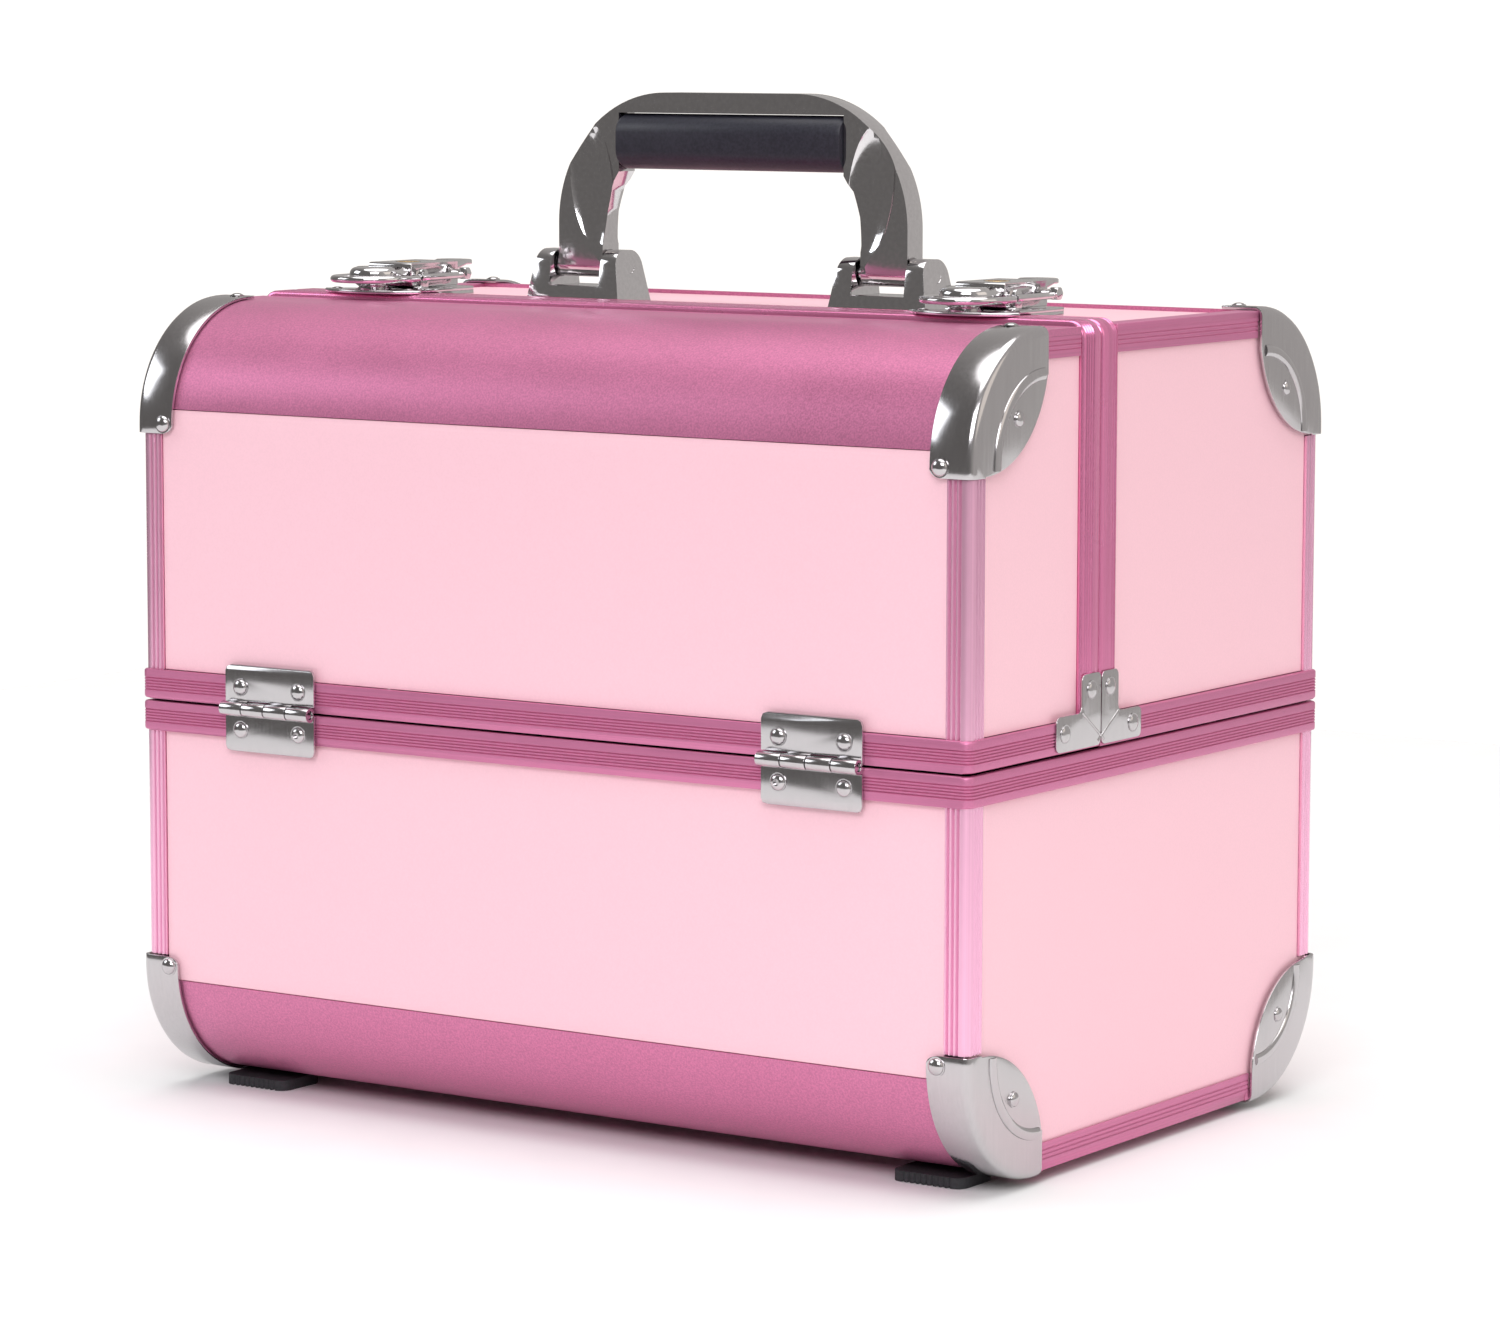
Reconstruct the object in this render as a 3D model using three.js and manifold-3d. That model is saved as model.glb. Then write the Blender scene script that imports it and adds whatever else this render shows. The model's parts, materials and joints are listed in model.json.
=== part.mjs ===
// Makeup train case: a rigid aluminium-edged case whose upper half is two lids of unequal depth, hinged
// at mid height on the front and the back, with two levelling trays, two key latches and a folding handle.
// Millimetres. +Z is up, +X is the right side, -Y is the front. The origin is on the ground under the middle.

import * as THREE from 'three';
import { mergeVertices } from 'three/addons/utils/BufferGeometryUtils.js';
import Module from 'manifold-3d';

const wasm = await Module();
wasm.setup();
const { Manifold, Mesh: SolidMesh } = wasm;

// ---------------------------------------------------------------- driving sizes

const WIDTH = 350;                 // over the belts, along X
const DEPTH = 240;                 // over the belts, along Y
const BOTTOM = 3;                  // underside of the case above the ground
const TOP = 286;                   // top of the case
const SEAM = 143;                  // height of the joint between base and lids
const SPLIT = -37;                 // plane between the front and the rear lid, along Y
const CORNER = 44;                 // radius of the long curved edges
const GAP = 0.3;                   // room between pieces that meet
const PLAY = 0.4;                  // room between pieces that move past each other

const HALF_W = WIDTH / 2;
const HALF_D = DEPTH / 2;
const MIDDLE = (TOP + BOTTOM) / 2;

const BELT = { low: 1, high: 11, wall: 4.5 };                     // from the seam, and its thickness
const LOWER_BELT_TOP = SEAM - 0.5;
const UPPER_BELT_BOTTOM = SEAM + 0.5;
const POST = { inset: 1, width: 9, wall: 2.5 };
const TRIM = { inset: 1, wall: 2.4, edge: 104.8, flange: 9.5 };   // curved extrusions with side flanges
const PANEL = { inset: 1.8, wall: 2.2 };
const END = { outer: 173, wall: 2 };                              // the side walls, by X
const CAP = { inset: -0.4, wall: 1.1, front: 16, side: 47, reach: 96, straight: 16 };
const CAP_ARC = { y: 8, z: 136, radius: 39.5 };                  // from the front face and the seam
const CAP_RIVET = { y: 28.5, z: 114, radius: 2.4, proud: 1.5 };
const SPLIT_FRAME = { front: 12, rear: 10.8, outer: 174.8, top: 287, wall: 5.6, radius: 6 };
const TOP_PANEL = { top: 283.6, wall: 2.2, side: 165 };
const BOTTOM_PANEL = { side: 165, half: 70 };
const FOOT = { x: 144, y: 85, length: 28, width: 22, height: 3.7 };

const HINGE = { x: 114.5, width: 40, half: 15.5, plate: 1.2, axis: 3.1, barrel: 2.6, pin: 1.2, knuckles: 4 };

const TRAY = { side: 158, outer: 108, inner: 2.2, low: 165, high: 200, wall: 1.6, dividers: [-52, 52], lip: 3 };
const LINK = { run: 40, rise: 40, back: 35, drop: 14, inner: 159, thick: 2.5, half: 4, boss: 4 };

const HANDLE = { y: 4, pivot: 297.5, half: 5, outer: 75, leg: 19.5, top: 360, radius: 47, foot: 4.5 };
const GRIP = { half: 48, low: 332.5, high: 352.4, thick: 8 };
const BRACKET = { inner: 45, outer: 86, half: 10.5, low: 283.9, floor: 290, top: 303, lean: 3 };
const SLOT = [54.3, 76.3];         // the gap between a bracket's ears, by X
const ENTRY = 0.4;                 // half width of the slit by which a bracket closes round its pin
const HANDLE_PIN = { radius: 2.2, hole: 2.5, inner: 51, outer: 80 };

const LATCH = { x: 126, plate: 1.3, seat: 287.3 };
const KEEPER = { half: 22, front: -54.5, bulge: 7, neck: 6.5, dome: 9.5, low: 291.4, high: 296.6 };
const STRIKE = { half: 15, front: -33.6, back: -3, ear: 2.4, earFront: 1.9, pin: 1.2 };
const LEVER = { half: 10, pivotY: -31.7, pivotZ: 293.4, nose: 4.5, back: -7, low: 289, high: 296.5 };
const TAB = { half: 7, back: 8.5, drop: 1.4, thick: 2 };         // the lever's thumb tab
const LEVER_PIN = { y: -9.5, half: 16, radius: 1.5, knob: 2.5, length: 2 };
const KEY = { y: -24.8, radius: 4.4, low: 292, high: 298, slot: 0.5, reach: 2.6, deep: 2 };

// ---------------------------------------------------------------- helpers

const AXES_YZ = new THREE.Matrix4().makeBasis(
  new THREE.Vector3(0, 1, 0),
  new THREE.Vector3(0, 0, 1),
  new THREE.Vector3(1, 0, 0),
);
const AXES_XZ = new THREE.Matrix4().makeBasis(
  new THREE.Vector3(1, 0, 0),
  new THREE.Vector3(0, 0, 1),
  new THREE.Vector3(0, -1, 0),
);

// A closed three.js geometry as a solid that can be cut and joined.
function solid(geometry) {
  geometry.deleteAttribute('normal');
  geometry.deleteAttribute('uv');
  const merged = mergeVertices(geometry, 1e-4);
  return new Manifold(new SolidMesh({
    numProp: 3,
    vertProperties: new Float32Array(merged.attributes.position.array),
    triVerts: new Uint32Array(merged.index.array),
  }));
}

function box(x, y, z) {
  const geometry = new THREE.BoxGeometry(x[1] - x[0], y[1] - y[0], z[1] - z[0]);
  geometry.translate((x[0] + x[1]) / 2, (y[0] + y[1]) / 2, (z[0] + z[1]) / 2);
  return solid(geometry);
}

function rodX(x, y, z, radius, sides = 20) {
  const geometry = new THREE.CylinderGeometry(radius, radius, x[1] - x[0], sides);
  geometry.rotateZ(Math.PI / 2);
  geometry.translate((x[0] + x[1]) / 2, y, z);
  return solid(geometry);
}

function rodZ(x, y, z, radius, sides = 24) {
  const geometry = new THREE.CylinderGeometry(radius, radius, z[1] - z[0], sides);
  geometry.rotateX(Math.PI / 2);
  geometry.translate(x, y, (z[0] + z[1]) / 2);
  return solid(geometry);
}

function extruded(shape, depth, curveSegments) {
  return new THREE.ExtrudeGeometry(shape, { depth, curveSegments, bevelEnabled: false });
}

// A shape drawn in Y and Z, run along X.
function alongX(shape, x, curveSegments = 10) {
  const geometry = extruded(shape, x[1] - x[0], curveSegments);
  geometry.applyMatrix4(AXES_YZ);
  geometry.translate(x[0], 0, 0);
  return solid(geometry);
}

// A shape drawn in X and Z, run along Y.
function alongY(shape, y, curveSegments = 8) {
  const geometry = extruded(shape, y[1] - y[0], curveSegments);
  geometry.applyMatrix4(AXES_XZ);
  geometry.translate(0, y[1], 0);
  return solid(geometry);
}

// A shape drawn in X and Y, run along Z.
function alongZ(shape, z, curveSegments = 12) {
  const geometry = extruded(shape, z[1] - z[0], curveSegments);
  geometry.translate(0, 0, z[0]);
  return solid(geometry);
}

function roundedRect(a, b, radius) {
  const shape = new THREE.Shape();
  shape.moveTo(a[0] + radius, b[0]);
  shape.lineTo(a[1] - radius, b[0]);
  shape.absarc(a[1] - radius, b[0] + radius, radius, -Math.PI / 2, 0, false);
  shape.lineTo(a[1], b[1] - radius);
  shape.absarc(a[1] - radius, b[1] - radius, radius, 0, Math.PI / 2, false);
  shape.lineTo(a[0] + radius, b[1]);
  shape.absarc(a[0] + radius, b[1] - radius, radius, Math.PI / 2, Math.PI, false);
  shape.lineTo(a[0], b[0] + radius);
  shape.absarc(a[0] + radius, b[0] + radius, radius, Math.PI, 1.5 * Math.PI, false);
  return shape;
}

// The case's side outline, drawn in by an inset, as a solid between two X values.
function outline(inset, x) {
  const y = [-HALF_D + inset, HALF_D - inset];
  const z = [BOTTOM + inset, TOP - inset];
  return alongX(roundedRect(y, z, CORNER - inset), x);
}

// The same outline as a skin, from an outer inset inwards by a wall.
function skin(inset, wall, x) {
  return outline(inset, x).subtract(outline(inset + wall, [x[0] - 1, x[1] + 1]));
}

function both(x) {
  return [-x, x];
}

function side(sign, near, far) {
  return sign > 0 ? [near, far] : [-far, -near];
}

const group = new THREE.Group();

function material(color, roughness, metalness) {
  return () => new THREE.MeshStandardMaterial({ color, roughness, metalness });
}

const panelPink = material(0xf6d3df, 0.55, 0.0);
const trimPink = material(0xb86a8c, 0.35, 0.7);
const aluminium = material(0xc9c9cc, 0.35, 0.9);
const chrome = material(0xd8d8da, 0.15, 1.0);
const brass = material(0xc9a352, 0.3, 1.0);
const gripNavy = material(0x1c1e2a, 0.6, 0.0);
const rubber = material(0x2b2b2e, 0.85, 0.0);
const trayBlack = material(0x2f2d30, 0.7, 0.0);

// Adds one named mesh, optionally mirrored across planes through the origin.
function add(name, body, makeMaterial, mirror = [1, 1, 1]) {
  const mesh = body.getMesh();
  const flipped = mirror[0] * mirror[1] * mirror[2] < 0;
  const positions = new Float32Array(mesh.numVert * 3);
  for (let i = 0; i < mesh.numVert; i += 1) {
    for (let k = 0; k < 3; k += 1) {
      positions[i * 3 + k] = mesh.vertProperties[i * mesh.numProp + k] * mirror[k];
    }
  }
  const triangles = Array.from(mesh.triVerts);
  if (flipped) {
    for (let i = 0; i < triangles.length; i += 3) {
      const first = triangles[i];
      triangles[i] = triangles[i + 1];
      triangles[i + 1] = first;
    }
  }
  const geometry = new THREE.BufferGeometry();
  geometry.setAttribute('position', new THREE.BufferAttribute(positions, 3));
  geometry.setIndex(triangles);
  geometry.computeVertexNormals();
  const node = new THREE.Mesh(geometry, makeMaterial());
  node.name = name;
  group.add(node);
}

const SIDES = [['left', -1], ['right', 1]];

// ---------------------------------------------------------------- frames: belts and corner posts

// A belt along the outer edge of the case, open where the opening box reaches its edge.
function belt(z) {
  const outer = box(both(HALF_W), both(HALF_D), z);
  const inner = box(both(HALF_W - BELT.wall), both(HALF_D - BELT.wall), [z[0] - 1, z[1] + 1]);
  return outer.subtract(inner);
}

// An angle-shaped post at a corner, given by the signs of its X and Y.
function post(signX, signY, z) {
  const far = { x: HALF_W - POST.inset, y: HALF_D - POST.inset };
  const near = { x: far.x - POST.width, y: far.y - POST.width };
  const outer = box(side(signX, near.x, far.x), side(signY, near.y, far.y), z);
  const cutX = side(signX, near.x - 1, far.x - POST.wall);
  const cutY = side(signY, near.y - 1, far.y - POST.wall);
  return outer.subtract(box(cutX, cutY, [z[0] - 1, z[1] + 1]));
}

const UPPER_BELT = [UPPER_BELT_BOTTOM, SEAM + BELT.high];
const LOWER_BELT = [SEAM - BELT.high, LOWER_BELT_TOP];
const UPPER_POST = [SEAM + BELT.high - 1, SEAM + CAP.reach - GAP];
const LOWER_POST = [2 * MIDDLE - UPPER_POST[1], SEAM - BELT.high + 1];

function frames() {
  let base = belt(LOWER_BELT);
  for (const [, sign] of SIDES) {
    base = base.add(post(sign, -1, LOWER_POST));
    base = base.add(post(sign, 1, LOWER_POST));
  }
  add('base_frame', base, trimPink);

  const ring = belt(UPPER_BELT);
  let front = ring.intersect(box(both(HALF_W), [-HALF_D, SPLIT - PLAY / 2], UPPER_BELT));
  let rear = ring.intersect(box(both(HALF_W), [SPLIT + PLAY / 2, HALF_D], UPPER_BELT));
  for (const [, sign] of SIDES) {
    front = front.add(post(sign, -1, UPPER_POST));
    rear = rear.add(post(sign, 1, UPPER_POST));
  }
  add('front_lid_frame', front, trimPink);
  add('rear_lid_frame', rear, trimPink);
}

// The two hoops that meet at the split between the lids.
function splitFrames() {
  const { outer, top, wall, radius } = SPLIT_FRAME;
  const foot = SEAM + BELT.high + GAP;
  const hoop = (y) => {
    const shape = roundedRect(both(outer), [foot - 20, top], radius);
    const inner = roundedRect(both(outer - wall), [foot - 40, top - wall], radius / 3);
    const clipped = box(both(HALF_W + 5), y, [foot, top + 5]);
    return alongY(shape, y).subtract(alongY(inner, [y[0] - 1, y[1] + 1])).intersect(clipped);
  };
  const front = [SPLIT - PLAY / 2 - SPLIT_FRAME.front, SPLIT - PLAY / 2];
  const rear = [SPLIT + PLAY / 2, SPLIT + PLAY / 2 + SPLIT_FRAME.rear];
  add('front_lid_split_frame', hoop(front), trimPink);
  add('rear_lid_split_frame', hoop(rear), trimPink);
  return { frontEdge: front[0] - GAP, rearEdge: rear[1] + GAP };
}

// ---------------------------------------------------------------- panels and curved trims

const TRIM_Z = SEAM + TRIM.edge;
const LOW_TRIM_Z = 2 * MIDDLE - TRIM_Z;

// Side flanges of a trim: thin strips on the side faces between two Y values.
function flanges(y, z) {
  const reach = [END.outer + GAP, HALF_W - POST.inset];
  return box(side(1, ...reach), y, z).add(box(side(-1, ...reach), y, z));
}

function trims(edges) {
  const full = both(HALF_W - POST.inset);
  const shell = skin(TRIM.inset, TRIM.wall, full);
  const capSide = HALF_D - CAP.side - GAP;
  const topFlange = [TOP - TRIM.flange, TOP - TRIM.inset - TRIM.wall / 2];
  const lowFlange = [BOTTOM + TRIM.inset + TRIM.wall / 2, BOTTOM + TRIM.flange];
  const inside = both(TOP_PANEL.side + GAP);

  const front = shell.intersect(box(full, [-HALF_D, edges.frontEdge], [TRIM_Z, TOP]))
    .add(flanges([-capSide, edges.frontEdge], topFlange));
  add('front_lid_trim', front, trimPink);

  const rear = shell.intersect(box(full, [edges.rearEdge, HALF_D], [TRIM_Z, TOP]))
    .subtract(box(inside, [edges.rearEdge - 1, HALF_D - CORNER], [TOP - 10, TOP + 1]))
    .add(flanges([edges.rearEdge, capSide], topFlange));
  add('rear_lid_trim', rear, trimPink);

  const half = BOTTOM_PANEL.half + GAP;
  const low = shell.intersect(box(full, both(HALF_D), [BOTTOM, LOW_TRIM_Z]))
    .subtract(box(both(BOTTOM_PANEL.side + GAP), both(half), [BOTTOM - 1, BOTTOM + 10]))
    .add(flanges(both(capSide), lowFlange));
  add('base_trim', low, trimPink);
}

function panels(edges) {
  const postEdge = HALF_W - POST.inset - POST.width - GAP;
  const shell = skin(PANEL.inset, PANEL.wall, both(postEdge));
  const upper = [SEAM + BELT.high + GAP, TRIM_Z - GAP];
  const lower = [LOW_TRIM_Z + GAP, SEAM - BELT.high - GAP];
  const frontHalf = [-HALF_D, -HALF_D + CORNER];
  const rearHalf = [HALF_D - CORNER, HALF_D];
  add('front_lid_panel', shell.intersect(box(both(HALF_W), frontHalf, upper)), panelPink);
  add('rear_lid_panel', shell.intersect(box(both(HALF_W), rearHalf, upper)), panelPink);
  add('base_front_panel', shell.intersect(box(both(HALF_W), frontHalf, lower)), panelPink);
  add('base_rear_panel', shell.intersect(box(both(HALF_W), rearHalf, lower)), panelPink);

  const topY = [edges.rearEdge, HALF_D - CORNER - GAP];
  const topZ = [TOP_PANEL.top - TOP_PANEL.wall, TOP_PANEL.top];
  add('rear_lid_top_panel', box(both(TOP_PANEL.side), topY, topZ), panelPink);

  const floorZ = [BOTTOM + TRIM.inset, BOTTOM + TRIM.inset + TRIM.wall];
  add('base_bottom_panel', box(both(BOTTOM_PANEL.side), both(BOTTOM_PANEL.half), floorZ), panelPink);
}

// The side walls: they fill the outline inside the trims and stop at the posts and the belts.
function ends(edges) {
  const under = TRIM.inset + TRIM.wall + GAP;
  const postEdge = HALF_D - POST.inset - POST.width - GAP;
  for (const [name, sign] of SIDES) {
    const x = side(sign, END.outer - END.wall, END.outer);
    const cut = side(sign, 160, 180);
    const flat = outline(under, x);
    const upperNotch = [SEAM, UPPER_POST[1] + GAP];
    const lowerNotch = [LOWER_POST[0] - GAP, SEAM];
    const frontNotch = box(cut, [-HALF_D, -postEdge], upperNotch);
    const rearNotch = box(cut, [postEdge, HALF_D], upperNotch);
    const upper = [SEAM + BELT.high + GAP, TOP];
    const front = flat.intersect(box(cut, [-HALF_D, edges.frontEdge], upper)).subtract(frontNotch);
    const rear = flat.intersect(box(cut, [edges.rearEdge, HALF_D], upper)).subtract(rearNotch);
    const base = flat.intersect(box(cut, both(HALF_D), [0, SEAM - BELT.high - GAP]))
      .subtract(box(cut, [-HALF_D, -postEdge], lowerNotch))
      .subtract(box(cut, [postEdge, HALF_D], lowerNotch));
    add(`front_lid_${name}_end`, front, panelPink);
    add(`rear_lid_${name}_end`, rear, panelPink);
    add(`base_${name}_panel`, base, panelPink);
  }
}

// ---------------------------------------------------------------- corner caps and feet

// The upper front right cap. The others are its mirror images about the case's middle.
function cornerCap() {
  const far = HALF_W - CAP.inset;
  const strip = [HALF_W - CAP.front, far];
  const reach = SEAM + CAP.reach;
  const inner = outline(CAP.inset + CAP.wall, [strip[0] - 1, far - CAP.wall]);
  const shell = outline(CAP.inset, strip).subtract(inner);
  const block = box(strip, [-HALF_D - 1, -HALF_D + CAP.side], [reach, TOP + 1]);
  const face = [far - CAP.wall - 0.01, far + 1];
  const straight = box(face, [-HALF_D - 1, -HALF_D + CAP.side], [TOP - CAP.straight, TOP + 1]);
  const round = rodX(face, -HALF_D + CAP_ARC.y, SEAM + CAP_ARC.z, CAP_ARC.radius, 48);
  const edge = box([strip[0] - 1, far - CAP.wall], [-HALF_D - 1, HALF_D], [0, TOP + 1]);
  const head = [far - CAP.wall / 2, far + CAP_RIVET.proud];
  const rivet = rodX(head, -HALF_D + CAP_RIVET.y, SEAM + CAP_RIVET.z, CAP_RIVET.radius, 10);
  return shell.intersect(block).intersect(edge.add(straight).add(round)).add(rivet);
}

function corners() {
  const cap = cornerCap();
  const low = cap.translate([0, 0, -MIDDLE]).mirror([0, 0, 1]).translate([0, 0, MIDDLE]);
  for (const [name, sign] of SIDES) {
    add(`front_lid_${name}_corner`, cap, chrome, [sign, 1, 1]);
    add(`rear_lid_${name}_corner`, cap, chrome, [sign, -1, 1]);
    add(`base_front_${name}_corner`, low, chrome, [sign, 1, 1]);
    add(`base_rear_${name}_corner`, low, chrome, [sign, -1, 1]);
  }
}

function feet() {
  const x = [FOOT.x - FOOT.length / 2, FOOT.x + FOOT.length / 2];
  const y = [-FOOT.y - FOOT.width / 2, -FOOT.y + FOOT.width / 2];
  const pad = alongZ(roundedRect(x, y, 4), [0, FOOT.height], 4);
  for (const [name, sign] of SIDES) {
    add(`foot_front_${name}`, pad, rubber, [sign, 1, 1]);
    add(`foot_rear_${name}`, pad, rubber, [sign, -1, 1]);
  }
}

// ---------------------------------------------------------------- hinges

const AXIS_Y = HALF_D + HINGE.axis;

// One hinge leaf on the front face: a plate on the belt with every second knuckle of the barrel.
function hingeLeaf(upper) {
  const plateY = [-HALF_D - GAP - HINGE.plate, -HALF_D - GAP];
  const plateZ = upper ? [SEAM + GAP, SEAM + HINGE.half] : [SEAM - HINGE.half, SEAM - GAP];
  const start = HINGE.x - HINGE.width / 2;
  const step = HINGE.width / HINGE.knuckles;
  let leaf = box([start, start + HINGE.width], plateY, plateZ);
  for (let i = 0; i < HINGE.knuckles; i += 1) {
    const own = (i % 2 === 1) === upper;
    const span = [start + i * step, start + (i + 1) * step];
    if (own) {
      leaf = leaf.add(rodX([span[0] + GAP / 2, span[1] - GAP / 2], -AXIS_Y, SEAM, HINGE.barrel));
    } else {
      const room = [span[0] - GAP / 2, span[1] + GAP / 2];
      leaf = leaf.subtract(rodX(room, -AXIS_Y, SEAM, HINGE.barrel + PLAY));
    }
  }
  if (upper) {
    return leaf.subtract(rodX([start - 1, start + HINGE.width + 1], -AXIS_Y, SEAM, HINGE.pin + GAP));
  }
  return leaf.add(rodX([start + GAP, start + HINGE.width - GAP], -AXIS_Y, SEAM, HINGE.pin));
}

function hinges() {
  const upper = hingeLeaf(true);
  const lower = hingeLeaf(false);
  for (const [name, sign] of SIDES) {
    add(`front_hinge_${name}_upper_leaf`, upper, chrome, [sign, 1, 1]);
    add(`front_hinge_${name}_lower_leaf`, lower, chrome, [sign, 1, 1]);
    add(`rear_hinge_${name}_upper_leaf`, upper, chrome, [sign, -1, 1]);
    add(`rear_hinge_${name}_lower_leaf`, lower, chrome, [sign, -1, 1]);
  }
}

// ---------------------------------------------------------------- trays and their arms

const TRAY_PIVOT = { y: -AXIS_Y + LINK.run, z: SEAM + LINK.rise };
const ARM_FOOT = { y: -AXIS_Y + LINK.back, z: SEAM - LINK.drop };
const ARM_HEAD = { y: ARM_FOOT.y + LINK.run, z: ARM_FOOT.z + LINK.rise };

// The front tray: an open box with dividers and a pivot boss on each side.
function tray() {
  const y = [-TRAY.outer, -TRAY.inner];
  const hollowY = [y[0] + TRAY.wall, y[1] - TRAY.wall];
  const hollowX = both(TRAY.side - TRAY.wall);
  let body = box(both(TRAY.side), y, [TRAY.low, TRAY.high])
    .subtract(box(hollowX, hollowY, [TRAY.low + TRAY.wall, TRAY.high + 1]));
  for (const x of TRAY.dividers) {
    const thick = [x - TRAY.wall / 2, x + TRAY.wall / 2];
    body = body.add(box(thick, [y[0] + 0.5, y[1] - 0.5], [TRAY.low + 0.5, TRAY.high - TRAY.lip]));
  }
  const boss = [TRAY.side - 0.5, END.outer - END.wall - PLAY];
  for (const [, sign] of SIDES) {
    body = body.add(rodX(side(sign, ...boss), TRAY_PIVOT.y, TRAY_PIVOT.z, LINK.boss));
  }
  return body;
}

// A flat arm from the base to the front tray, on the right side.
function trayArm() {
  const x = [LINK.inner, LINK.inner + LINK.thick];
  const shape = new THREE.Shape();
  const tilt = Math.atan2(LINK.rise, LINK.run);
  shape.absarc(ARM_FOOT.y, ARM_FOOT.z, LINK.half, tilt + Math.PI / 2, tilt + 1.5 * Math.PI, false);
  shape.absarc(ARM_HEAD.y, ARM_HEAD.z, LINK.half, tilt - Math.PI / 2, tilt + Math.PI / 2, false);
  shape.closePath();
  const foot = [x[1] - 0.5, HALF_W - BELT.wall - GAP];
  const head = [TRAY.side + GAP, x[1] + 1];
  return alongX(shape, x, 8)
    .add(rodX(foot, ARM_FOOT.y, ARM_FOOT.z, LINK.boss - 0.5))
    .add(rodX(head, ARM_HEAD.y, ARM_HEAD.z, LINK.boss - 0.5));
}

function trays() {
  const box3 = tray();
  const arm = trayArm();
  for (const [place, signY] of [['front', 1], ['rear', -1]]) {
    add(`${place}_tray`, box3, trayBlack, [1, signY, 1]);
    for (const [name, signX] of SIDES) {
      add(`${place}_tray_arm_${name}`, arm, aluminium, [signX, signY, 1]);
    }
  }
}

// ---------------------------------------------------------------- handle

function handle() {
  const { outer, leg, top, radius, pivot, foot } = HANDLE;
  const inner = outer - leg;
  const shape = new THREE.Shape();
  shape.moveTo(inner, pivot - foot);
  shape.lineTo(outer, pivot - foot);
  shape.lineTo(outer, top - radius);
  shape.absarc(outer - radius, top - radius, radius, 0, Math.PI / 2, false);
  shape.absarc(-outer + radius, top - radius, radius, Math.PI / 2, Math.PI, false);
  shape.lineTo(-outer, pivot - foot);
  shape.lineTo(-inner, pivot - foot);
  shape.quadraticCurveTo(-inner, GRIP.low, -GRIP.half - GAP, GRIP.low);
  shape.lineTo(-GRIP.half - GAP, GRIP.high + GAP);
  shape.lineTo(GRIP.half + GAP, GRIP.high + GAP);
  shape.lineTo(GRIP.half + GAP, GRIP.low);
  shape.quadraticCurveTo(inner, GRIP.low, inner, pivot - foot);
  const y = [HANDLE.y - HANDLE.half, HANDLE.y + HANDLE.half];
  let body = alongY(shape, y, 10);
  for (const [, sign] of SIDES) {
    const reach = side(sign, inner - 1, outer + 1);
    const corner = box(reach, [y[0] - 1, y[1] + 1], [pivot - foot - 1, pivot]);
    const round = rodX(reach, HANDLE.y, pivot, HANDLE.half, 24);
    const hole = rodX(side(sign, inner - 2, outer + 2), HANDLE.y, pivot, HANDLE_PIN.hole);
    body = body.subtract(corner.subtract(round)).subtract(hole);
    const bracketY = [HANDLE.y - BRACKET.half, HANDLE.y + BRACKET.half];
    const profile = new THREE.Shape();
    profile.moveTo(sign * BRACKET.inner, BRACKET.low);
    profile.lineTo(sign * BRACKET.outer, BRACKET.low);
    profile.lineTo(sign * (BRACKET.outer - BRACKET.lean), BRACKET.top);
    profile.lineTo(sign * SLOT[1], BRACKET.top);
    profile.lineTo(sign * SLOT[1], BRACKET.floor);
    profile.lineTo(sign * SLOT[0], BRACKET.floor);
    profile.lineTo(sign * SLOT[0], BRACKET.top);
    profile.lineTo(sign * (BRACKET.inner + BRACKET.lean), BRACKET.top);
    const pinX = [HANDLE_PIN.inner, HANDLE_PIN.outer];
    const pinHole = rodX(side(sign, pinX[0] - GAP, pinX[1] + GAP), HANDLE.y, pivot, HANDLE_PIN.hole);
    const name = sign < 0 ? 'left' : 'right';
    const pin = rodX(side(sign, ...pinX), HANDLE.y, pivot, HANDLE_PIN.radius);
    const slitX = side(sign, BRACKET.inner - 1, BRACKET.outer + 1);
    const slit = box(slitX, [HANDLE.y - ENTRY, HANDLE.y + ENTRY], [pivot, BRACKET.top + 1]);
    add(`handle_bracket_${name}`, alongY(profile, bracketY).subtract(pinHole).subtract(slit), chrome);
    add(`handle_pin_${name}`, pin, chrome);
  }
  add('handle_frame', body, chrome);
  const gripY = [HANDLE.y - GRIP.thick, HANDLE.y + GRIP.thick];
  const section = roundedRect(gripY, [GRIP.low, GRIP.high], 6);
  add('handle_grip', alongX(section, both(GRIP.half), 4), gripNavy);
}

// ---------------------------------------------------------------- latches

// The keeper on the front lid: a leaf-shaped plate, a round neck and a domed nose at the split.
function keeper() {
  const back = SPLIT - PLAY;
  const y = (KEEPER.front + back) / 2;
  const leaf = new THREE.Shape();
  leaf.moveTo(-KEEPER.half, y);
  leaf.quadraticCurveTo(0, KEEPER.front - KEEPER.bulge, KEEPER.half, y);
  leaf.quadraticCurveTo(0, back + KEEPER.bulge, -KEEPER.half, y);
  const seat = [LATCH.seat, LATCH.seat + LATCH.plate];
  const limit = box(both(KEEPER.half), [KEEPER.front, back], [seat[0], KEEPER.high]);
  return alongZ(leaf, seat)
    .add(rodZ(0, y, [seat[0] + 0.2, KEEPER.low + 0.5], KEEPER.neck))
    .add(rodZ(0, y, [KEEPER.low, KEEPER.high], KEEPER.dome))
    .intersect(limit);
}

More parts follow.
